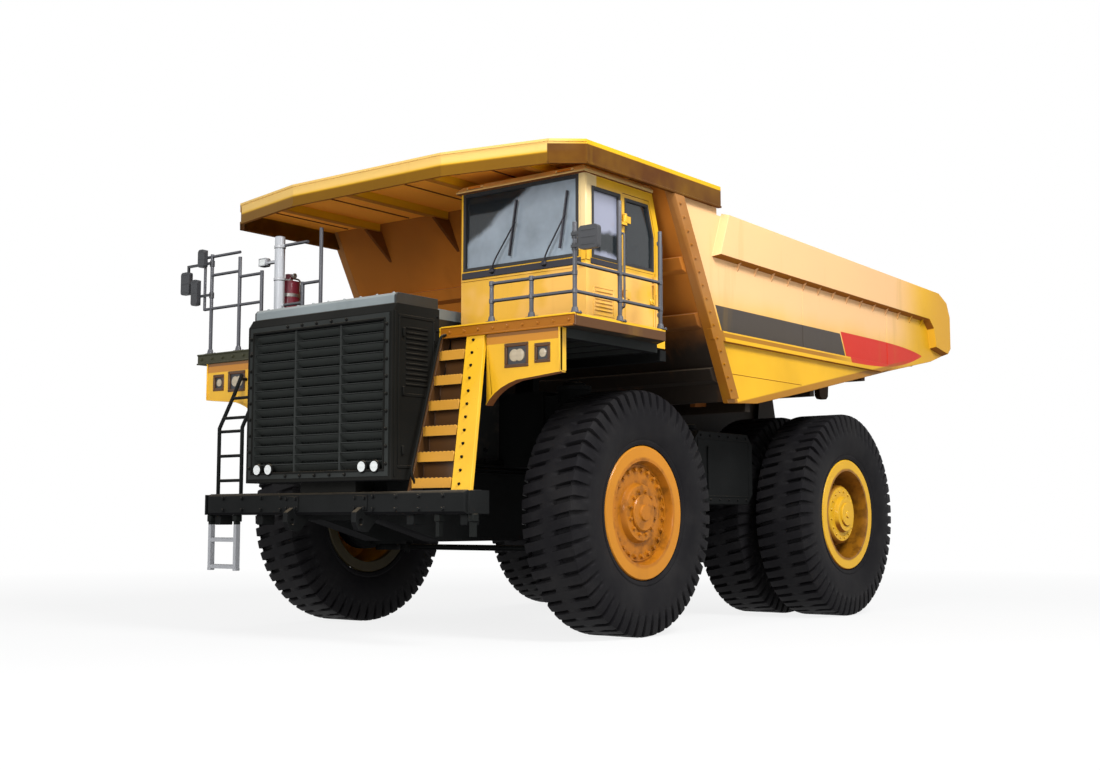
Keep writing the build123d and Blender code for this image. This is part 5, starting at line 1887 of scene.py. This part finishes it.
    def _controls(self) -> None:
        """Build the dials, switches, pedals and wheel hub."""
        fit, dash = Forge(), (0, 0.55, 0.835)
        for x in (1.42, 1.56, 1.72, 1.86):
            fit.ring((x, -3.50, 3.775), dash, 0.048, 0.006, 0.014, 28, 0.003)
        for x in spread(1.98, 2.30, 6):
            fit.block((x - 0.014, -3.60, 3.826), (x + 0.014, -3.57, 3.842), 0.003)
        tip = Matrix.Rotation(-0.6, 4, "X")
        for x in (1.50, 1.74):
            fit.block((x - 0.05, -3.52, 3.40), (x + 0.05, -3.42, 3.425), 0.006, tip)
        fit.lathe([(0, 0.05), (0.02, 0.05), (0.03, 0.035), (0.03, 0)], (1.64, -3.31, 3.965), dash)
        self.piece(fit, "cab_controls", "console_plastic", "console_plastic")


# ================================================================ tanks and chassis
@dataclass
class Underparts(Assembly):
    """Tanks' straps and caps, frame bolts, pipes, shaft, struts and brakes.

    Attributes:
        tank_x: inner and outer face of the tanks.
        tank_y: front and rear face of the tanks.
        tank_z: lowest and highest face of the tanks.
        kingpin: x and y of the front struts.
        axle: y and z of the rear axle.
    """

    tank_x: Limits = (0.96, 1.95)
    tank_y: Limits = (-0.93, 0.46)
    tank_z: Limits = (1.45, 2.33)
    kingpin: Limits = (1.45, -2.65)
    axle: Limits = (1.92, 1.33)

    def build(self) -> None:
        """Build the pieces under the decks and the body."""
        for side, sign in SIDES:
            self._tank(side, sign)
            self._brake(side, sign)
            self._hoist(side, sign)
        self._frame_fittings()
        self._pipes()
        self._shaft()
        self._struts()
        self._axle()

    def _tank(self, side: str, sign: int) -> None:
        """Build one tank's straps, cap, gauge and seams.

        Args:
            side: left or right.
            sign: 1 for the left side, -1 for the right.
        """
        fit, face, cut = Forge(), flank(sign), 0.12
        (x0, x1), (y0, y1), (z0, z1) = self.tank_x, self.tank_y, self.tank_z
        middle = Vector((0, (y0 + y1) / 2, (z0 + z1) / 2))
        ring = [(y0, z0 + cut), (y0, z1 - cut), (y0 + cut, z1), (y1 - cut, z1), (y1, z1 - cut),
                (y1, z0 + cut), (y1 - cut, z0), (y0 + cut, z0)]
        for x in (x0 + 0.18, x1 - 0.22):
            for a, b in zip(ring, ring[1:] + ring[:1]):
                low, run = Vector((0, *a)), Vector((0, *b)) - Vector((0, *a))
                out = Vector((0, run.z, -run.y)).normalized() * 0.009
                if out.dot(low + run / 2 - middle) < 0:
                    out = -out
                low.x = sign * x
                fit.prism([low, low + run, low + run + out, low + out], (sign * 0.07, 0, 0))
        fit.bolts(face, spread(y0 + 0.16, y1 - 0.16, 6), (z0 + 0.05, z1 - 0.05), x1, 0.022)
        fit.surround(face, (y0 + 0.10, y1 - 0.10), (z0 + 0.10, z1 - 0.10), (x1 - 0.004, x1 + 0.006),
                     0.016, 0.002)
        fit.slab(face, (y0 + 0.30, y0 + 0.34), (z0 + 0.18, z1 - 0.18), (x1 - 0.002, x1 + 0.020), 0.005)
        fit.lathe([(0, 0.075), (0.035, 0.075), (0.045, 0.088), (0.085, 0.088), (0.10, 0.07), (0.10, 0)],
                  (sign * (x1 - 0.25), y0 + 0.28, z1 - 0.002), UP, 28)
        fit.lathe([(0, 0.05), (0.02, 0.05), (0.04, 0.03), (0.06, 0.03), (0.06, 0)],
                  (sign * (x1 - 0.4), middle.y, z0 + 0.002), (0, 0, -1), 20)
        self.piece(fit, f"{side}_tank_fittings", "frame_charcoal")

    def _brake(self, side: str, sign: int) -> None:
        """Build the front brake's calliper, disc face and knuckle bolts.

        Args:
            side: left or right.
            sign: 1 for the left side, -1 for the right.
        """
        fit, inward = Forge(), (-sign, 0, 0)
        x, y = self.kingpin
        fit.ring((sign * 1.79, y, 1.33), inward, 0.415, 0.26, 0.012, 56)
        fit.bolt_ring((sign * 1.778, y, 1.33), inward, 0.30, 16, 0.034)
        fit.block(*sorted_box((sign * 1.70, y - 0.10, 1.63), (sign * 1.80, y + 0.22, 1.73)), 0.012)
        fit.pipe([(sign * x, y + back, z) for x, back, z in (
            (1.70, 0.05, 1.70), (1.64, 0.05, 1.70), (1.62, 0.16, 1.50), (1.60, 0.20, 1.34))], 0.011, 8, 0.03)
        fit.bolt_ring((sign * x, y, 1.558), UP, 0.185, 10, 0.034)
        self.piece(fit, f"{side}_front_brake", "frame_charcoal", body=f"{side}_knuckle")

    def _hoist(self, side: str, sign: int) -> None:
        """Build the hoist's gland, ports and line, and its foot pin's cap.

        Args:
            side: left or right.
            sign: 1 for the left side, -1 for the right.
        """
        barrel, cap, outward = Forge(), Forge(), Vector((sign, 0, 0))
        foot, head = Vector((sign * 0.8, 0.3, 0.9)), Vector((sign * 0.8, 0.0, 2.6))
        run = (head - foot).normalized()
        barrel.ring(foot + run * 1.44, run, 0.132, 0.118, 0.055, 36, 0.005)
        barrel.bolt_ring(foot + run * 1.495, run, 0.110, 10, 0.016)
        barrel.ring(foot + run * 0.14, run, 0.130, 0.118, 0.03, 36)
        for along in (0.24, 1.36):
            spot = foot + run * along
            barrel.rod(spot + outward * 0.11, spot + outward * 0.165, 0.026, 12, 0.003)
        barrel.pipe([foot + run * a + outward * 0.155 for a in (0.27, 0.80, 1.33)], 0.012, 8, 0.05)
        self.piece(barrel, f"{side}_hoist_gland", "frame_charcoal", body=f"{side}_hoist_barrel")
        cap.lathe([(0, 0.085), (0.012, 0.085), (0.018, 0.078), (0.018, 0)],
                  foot + outward * 0.095, outward, 28)
        cap.bolt_ring(foot + outward * 0.111, outward, 0.05, 3, 0.022)
        self.piece(cap, f"{side}_hoist_pin_cap", "frame_charcoal")

    def _frame_fittings(self) -> None:
        """Build the rails' huck bolts, doubling plates and rear lamps."""
        fit, lamps, left = Forge(), Forge(), Face.LEFT
        fit.bolts(left, (-3.6, -3.2, -1.6, -1.1, 0.1, 0.95, 1.35, 2.45, 2.75), (1.92, 2.04), 0.6, 0.040)
        for y0, y1, z0, z1 in (
                (-1.58, -1.17, 1.35, 1.85), (0.37, 0.78, 1.78, 2.08), (2.86, 3.15, 1.76, 2.08)):
            fit.slab(left, (y0, y1), (z0, z1), (0.598, 0.612))
            fit.bolts(left, spread(y0 + 0.06, y1 - 0.06, 3), (z0 + 0.06, z1 - 0.06), 0.612, 0.034)
        fit.slab(Face.REAR, (0.34, 0.59), (1.84, 1.98), (3.445, 3.475), 0.008)
        fit.mirrored()
        self.piece(fit, "frame_plates", "frame_charcoal")
        for x in (0.40, 0.52):
            lamps.lathe([(0, 0.046), (0.010, 0.044), (0.016, 0.03), (0.018, 0)],
                        (x, 3.474, 1.91), Face.REAR.out)
        lamps.mirrored()
        self.piece(lamps, "tail_lamps", "red_lens", "lamp_glass")

    def _pipes(self) -> None:
        """Run the rigid lines along the rails."""
        lines, x = Forge(), 0.625
        for z in (1.86, 1.82, 1.78):
            lines.pipe([(x, y, z + rise) for y, rise in (
                (-3.9, 0), (-2.75, 0), (-1.3, -0.02), (-0.1, 0), (0.85, 0.04))], 0.012, 8, 0.08)
        lines.pipe([(0.66, 0.85, 1.90), (0.66, 1.4, 1.90), (0.66, 1.60, 1.72), (0.60, 1.72, 1.60)],
                   0.014, 8, 0.08)
        lines.mirrored()
        self.piece(lines, "frame_pipes", "frame_charcoal")

    def _shaft(self) -> None:
        """Build the drive shaft with a bolted flange at each end."""
        shaft = Forge()
        start, end = Vector((0, -2.86, 1.98)), Vector((0, 1.48, 1.33))
        run = (end - start).normalized()
        shaft.rod(start, end, 0.065, 24)
        for at, way in ((start, run), (end, -run)):
            shaft.lathe([(0, 0.12), (0.03, 0.12), (0.04, 0.09), (0.14, 0.085), (0.16, 0.066)], at, way)
            shaft.bolt_ring(at + way * 0.03, way, 0.10, 8, 0.018)
        self.piece(shaft, "drive_shaft", "engine_iron", "engine_iron")

    def _struts(self) -> None:
        """Build the front struts' gland rings, boots, valves and tower bolts."""
        fit, boot, (x, y) = Forge(), Forge(), self.kingpin
        for z, outer, thick in ((1.652, 0.196, 0.05), (1.95, 0.192, 0.02), (2.70, 0.198, 0.058)):
            fit.ring((x, y, z), UP, outer, 0.184, thick, 44, 0.005)
        fit.lathe([(0, 0.14), (0.03, 0.13), (0.05, 0.06), (0.07, 0.05), (0.07, 0)], (x, y, 2.758), UP, 28)
        fit.rod((x + 0.18, y, 2.60), (x + 0.235, y, 2.60), 0.02, 12, 0.003)
        for z in spread(2.12, 2.58, 4):
            for way in (-1, 1):
                fit.bolt((x - 0.09, y + way * 0.168, z), (0, way, 0), 0.036)
        fit.mirrored()
        self.piece(fit, "strut_fittings", "frame_charcoal")
        folds = [fold for start in (0.0078 * i for i in range(9))
                 for fold in ((0.004 + start, 0.150), (0.008 + start, 0.126))]
        boot.lathe([(0.0, 0.128), *folds, (0.082, 0.126)], (x, y, 1.572), UP, 36)
        boot.mirrored()
        self.piece(boot, "strut_boots", "seal_rubber")

    def _axle(self) -> None:
        """Build the rear axle's cover bolts, breather, brake cans and rear struts' boots."""
        fit, boot, (y, z) = Forge(), Forge(), self.axle
        for sign in (1, -1):
            fit.bolt_ring((sign * 0.90, y, z), (-sign, 0, 0), 0.40, 20, 0.036)
            fit.ring((sign * 0.42, y, z), (sign, 0, 0), 0.262, 0.238, 0.05, 40, 0.005)
            fit.ring((sign * 0.905, y, z), (-sign, 0, 0), 0.452, 0.36, 0.014, 56)
        fit.bolt_ring((0, 2.335, z), (0, 1, 0), 0.16, 10, 0.03)
        fit.lathe([(0, 0.20), (0.02, 0.20), (0.035, 0.17), (0.035, 0)], (0, 2.31, z), (0, 1, 0), 32)
        fit.lathe([(0, 0.03), (0.03, 0.03), (0.035, 0.02), (0.05, 0.02), (0.05, 0)],
                  (0.1, y, 1.755), UP, 14)
        self.piece(fit, "axle_fittings", "frame_charcoal")
        folds = [fold for start in (0.019 * i for i in range(8))
                 for fold in ((0.004 + start, 0.094), (0.0135 + start, 0.074))]
        boot.lathe([(0, 0.064), *folds, (0.158, 0.064)], (0.75, y, 1.575), UP, 28)
        boot.mirrored()
        self.piece(boot, "rear_strut_boots", "seal_rubber")


# ================================================================ dump body
@dataclass
class DumpBody(Assembly):
    """Weld seams, gussets, flanges, hinge caps and floor liners of the dump body.

    Attributes:
        outer: x of the side plates' outer face.
        slope: how far the front wall moves forward for each metre up.
        foot: y and z of the front wall's outer foot.
        canopy: x and y of each corner of the canopy's front edge.
        floor: y and z along the floor's upper face.
        keel: y and z along its lower face.
    """

    body: str = "dump_body"
    outer: float = 2.62
    slope: float = 0.526
    foot: Limits = (-1.25, 2.60)
    canopy: Profile = (
        (-2.68, -4.06), (-2.38, -4.31), (-1.15, -4.57), (1.15, -4.57), (2.38, -4.31), (2.68, -4.06))
    floor: Profile = ((-1.10, 2.718), (-0.55, 2.752), (0.65, 2.992), (3.15, 3.472), (4.65, 3.712))
    keel: Profile = (
        (-1.0, 2.652), (-0.55, 2.686), (0.65, 2.926), (3.15, 3.406), (4.65, 3.646), (5.10, 3.81))

    def build(self) -> None:
        """Build the body's pieces."""
        self._canopy_edge()
        self._canopy_gussets()
        for side, sign in SIDES:
            self._side_seams(side, sign)
        self._floor_liner()
        self._hinge_caps()
        self._stringers()

    def _wall_y(self, z: float) -> float:
        """Front face of the sloping wall at a height."""
        return self.foot[0] - self.slope * (z - self.foot[1])

    def _canopy_edge(self) -> None:
        """Build the folded flanges along the canopy's front and side edges."""
        edge = Forge()
        for (x0, y0), (x1, y1) in zip(self.canopy, self.canopy[1:]):
            out = Vector((y1 - y0, x0 - x1, 0)).normalized() * 0.012
            for z0, z1 in ((4.846, 4.870), (5.074, 5.099)):
                edge.prism([(x0, y0, z0), (x1, y1, z0), (x1, y1, z1), (x0, y0, z1)], out)
        for _, sign in SIDES:
            edge.slab(flank(sign), (-4.06, -1.45), (4.848, 4.872), (2.676, 2.690), 0.003)
        self.piece(edge, "canopy_edge", "canopy_yellow", "body_yellow")

    def _canopy_gussets(self) -> None:
        """Build the gussets under the canopy and the weld beads along it."""
        ribs, top = Forge(), self._wall_y(4.95)
        for x in (-1.8, -0.62, 0.62, 1.8):
            ribs.prism([(x - 0.02, top, 4.965), (x - 0.02, top - 0.30, 4.965),
                        (x - 0.02, self._wall_y(4.60), 4.60)], (0.04, 0, 0))
        for x in (-2.3, -1.2, 0.0, 1.2, 2.3):
            ribs.rod((x, -4.26, 5.058), (x, -2.60, 5.058), 0.010, 6)
        self.piece(ribs, "canopy_gussets", "shadow_brown", "body_yellow")

    def _side_seams(self, side: str, sign: int) -> None:
        """Build one side's weld beads, rib bolts and rail gussets.

        Args:
            side: left or right.
            sign: 1 for the left side, -1 for the right.
        """
        fit, x = Forge(), sign * self.outer
        for z, end in ((2.95, 0.55), (3.367, 2.9)):
            fit.rod((x, self._wall_y(z) + 0.20, z), (x, end, z), 0.006, 6)
        for y in (0.62, 3.12):
            fit.rod((x, y, 3.42), (x, y, 4.22), 0.005, 6)
        for z in spread(2.75, 4.75, 15):
            fit.bolt((x + sign * 0.06, self._wall_y(z) + 0.06, z), (sign, 0, 0), 0.026)
        for y in spread(-1.0, 4.3, 14):
            drop = (y + 1.57) * 0.0134
            fit.prism([(x, y, 4.262 - drop), (x + sign * 0.060, y, 4.292 - drop), (x, y, 4.180 - drop)],
                      (0, 0.014, 0))
        self.piece(fit, f"{side}_body_seams", "body_marked", "body_yellow")

    def _floor_liner(self) -> None:
        """Lay wear plates on the floor."""
        liner = Forge()
        for x0, x1 in ((-2.52, -1.28), (-1.26, -0.02), (0.02, 1.26), (1.28, 2.52)):
            for (y0, z0), (y1, z1) in zip(self.floor, self.floor[1:]):
                a, b = Vector((x0, y0 + 0.01, z0)), Vector((x0, y1 - 0.01, z1))
                lift = Vector((0, z0 - z1, y1 - y0)).normalized() * 0.010
                liner.prism([a, b, b + lift, a + lift], (x1 - x0, 0, 0))
        self.piece(liner, "floor_wear_plates", "worn_steel", "body_yellow")

    def _hinge_caps(self) -> None:
        """Build the body hinges' bosses and pin retainers."""
        cap = Forge()
        for _, sign in SIDES:
            cap.ring((sign * 0.718, 3.3, 2.35), (sign, 0, 0), 0.118, 0.078, 0.016, 36)
            cap.bolt_ring((sign * 0.734, 3.3, 2.35), (sign, 0, 0), 0.098, 8, 0.016)
        self.piece(cap, "hinge_bosses", "body_yellow", "body_yellow")

    def _stringers(self) -> None:
        """Build the lengthwise stringers under the floor."""
        ribs = Forge()
        for x in (1.15, 1.95):
            for (y0, z0), (y1, z1) in zip(self.keel, self.keel[1:]):
                ribs.prism([(x, y0, z0 + 0.01), (x, y1, z1 + 0.01), (x, y1, z1 - 0.05), (x, y0, z0 - 0.05)],
                           (0.07, 0, 0))
        ribs.mirrored()
        self.piece(ribs, "floor_stringers", "shadow_brown", "body_yellow")


# ================================================================ carried-over solids
@dataclass
class Dressing:
    """Gives every carried-over solid its finish and softened edges.

    Attributes:
        finishes: the truck's finishes.
        wearers: solids that take a finish other than their slot's, by finish.
        lamp_top: height under which the headlamps are glass.
        soft_edge: width of the softened edges.
        sharp: words in the names of solids whose edges stay as they are.
    """

    finishes: Finishes
    wearers: dict[str, tuple[str, ...]] = field(default_factory=lambda: {
        "body_marked": ("body_left", "body_right"),
        "canopy_yellow": ("canopy",),
        "shaded_wall_brown": ("body_front",),
        "shaded_floor_brown": ("body_floor", "rock_ejectors"),
        "grille_lit_depths": ("grille",),
        "shell_black": ("radiator_shell",),
        "fender_yellow": ("left_fender", "right_fender"),
        "cab_yellow": ("cab_front", "cab_left", "cab_right", "cab_rear", "cab_door"),
        "roof_cream": ("cab_roof",),
        "ladder_grey": ("boarding_ladders",),
        "hood_grey": ("hood",),
        "stair_paint": ("stairs",),
        "deck_yellow": ("decks",),
        "console_plastic": ("mirrors", "headlamps"),
        "rear_rim_yellow": ("left_rear_rims", "right_rear_rims"),
    })
    lamp_top: float = 2.2
    soft_edge: float = 0.006
    sharp: tuple[str, ...] = ("tyre", "glass", "grille")

    def build(self) -> None:
        """Dress each solid by its own entry, or else by its record slot."""
        slots = {row["node"]: row["material_slot"] for row in frame["record"]["subparts"]}
        own = {node: finish for finish, nodes in self.wearers.items() for node in nodes}
        for name, solid in frame["nodes"].items():
            solid.data.materials.clear()
            solid.data.materials.append(self.finishes[own.get(name, slots[name])])
            if name == "headlamps":
                self._glaze(solid)
            if not any(word in name for word in self.sharp):
                self._soften(solid)

    def _glaze(self, solid: bpy.types.Object) -> None:
        """Turn the headlamps' low faces to glass.

        Args:
            solid: the headlamps.
        """
        solid.data.materials.append(self.finishes["lamp_glass"])
        for face in solid.data.polygons:
            face.material_index = int(face.center.z < self.lamp_top)

    def _soften(self, solid: bpy.types.Object) -> None:
        """Join split corners and round the sharp edges a little.

        Args:
            solid: a carried-over solid.
        """
        weld = solid.modifiers.new("weld", "WELD")
        weld.merge_threshold = 0.0001
        bevel = solid.modifiers.new("soft_edges", "BEVEL")
        bevel.width = self.soft_edge
        bevel.segments = 2
        bevel.limit_method = "ANGLE"
        bevel.angle_limit = BEVEL_ANGLE
        bevel.harden_normals = False
        bevel.use_clamp_overlap = True


# ================================================================ camera, light and floor
def place_in_scene(name: str, data: bpy.types.ID, spot: Point = (0, 0, 0)) -> bpy.types.Object:
    """Put a mesh, lamp or camera into the scene as an object.

    Args:
        name: the object's name.
        data: the mesh, lamp or camera.
        spot: where it stands.

    Returns:
        The new object.
    """
    made = bpy.data.objects.new(name, data)
    made.location = spot
    bpy.context.scene.collection.objects.link(made)
    return made


@dataclass
class Studio:
    """Pale floor, soft lamps and the camera.

    Attributes:
        eye: where the camera stands.
        turn: its turn about each axis, in degrees.
        lens: its focal length, in millimetres.
        sky: colour of the even light.
        light: strength of the even light.
        ground: colour of the floor.
        lamps: name, place, width and power of each soft lamp.
        aim: what the lamps point at.
    """

    eye: Point = (10.957, -15.269, 1.242)
    turn: Point = (90 + 5.535, 0, 37.98)
    lens: float = 45.95
    sky: Colour = (0.96, 0.98, 1.0)
    light: float = 0.50
    ground: Colour = (0.60, 0.60, 0.60)
    lamps: tuple[tuple[str, Point, float, float], ...] = (
        ("key", (13, -6, 14), 6, 3700),
        ("front", (5, -18, 7.0), 7, 1900),
        ("rear", (-8, 14, 12), 10, 900),
    )
    aim: Point = (0, 0, 2.4)

    def build(self) -> None:
        """Build the studio."""
        self._world()
        self._floor()
        self._lamps()
        self._camera()
        bpy.context.scene.view_settings.view_transform = "Standard"

    def _world(self) -> None:
        """Light the scene evenly, and show white to the camera."""
        world = bpy.data.worlds.new("studio")
        bpy.context.scene.world = world
        tree = ShaderTree(world)
        soft = tree.node("Background", None, {"Color": self.sky, "Strength": self.light})
        white = tree.node("Background", None, {"Color": WHITE})
        both = tree.node("MixShader", None, {0: tree.seen(), 1: soft.outputs[0], 2: white.outputs[0]})
        tree.node("OutputWorld", None, {"Surface": both.outputs[0]})

    def _floor(self) -> None:
        """Lay a wide floor that keeps the truck's shadow and turns white further out."""
        data = bpy.data.meshes.new("floor")
        mesh = bmesh.new()
        bmesh.ops.create_circle(mesh, cap_ends=True, segments=64, radius=90)
        mesh.to_mesh(data)
        mesh.free()
        floor = place_in_scene("floor", data, (0, 0, -0.002))
        material = bpy.data.materials.new("pale_floor")
        tree = ShaderTree(material)
        far = tree.signal("VectorMath", {"operation": "LENGTH"}, {0: tree.coordinates["Object"]}, "Value")
        share = tree.signal("MapRange", None, {"Value": far, "From Min": 8, "From Max": 20, "To Min": 0.84})
        matt = tree.node("BsdfDiffuse", None, {"Color": self.ground})
        white = tree.node("Emission", None, {"Color": WHITE})
        both = tree.node("MixShader", None, {
            0: tree.seen() * share, 1: matt.outputs[0], 2: white.outputs[0]})
        tree.node("OutputMaterial", None, {"Surface": both.outputs[0]})
        data.materials.append(material)

    def _lamps(self) -> None:
        """Hang the large soft lamps, each aimed at the truck's middle."""
        for name, spot, size, power in self.lamps:
            data = bpy.data.lights.new(name, "AREA")
            data.shape = "DISK"
            data.size = size
            data.energy = power
            lamp = place_in_scene(name, data, spot)
            lamp.rotation_euler = (Vector(self.aim) - Vector(spot)).to_track_quat("-Z", "Y").to_euler()

    def _camera(self) -> None:
        """Stand the camera at the front left corner, low down."""
        data = bpy.data.cameras.new("camera")
        data.lens = self.lens
        data.sensor_width = 36
        data.clip_end = 300
        camera = place_in_scene("camera", data, self.eye)
        camera.rotation_euler = [math.radians(a) for a in self.turn]
        bpy.context.scene.camera = camera


def main() -> None:
    """Build the truck's looks in order."""
    logging.basicConfig(level=logging.INFO, format="%(message)s")
    finishes = Finishes()
    Dressing(finishes).build()
    for assembly in (Wheels, Nose, Decks, Rails, Cab, Underparts, DumpBody):
        assembly(finishes).build()
    Studio().build()


if __name__ == "__main__":
    main()
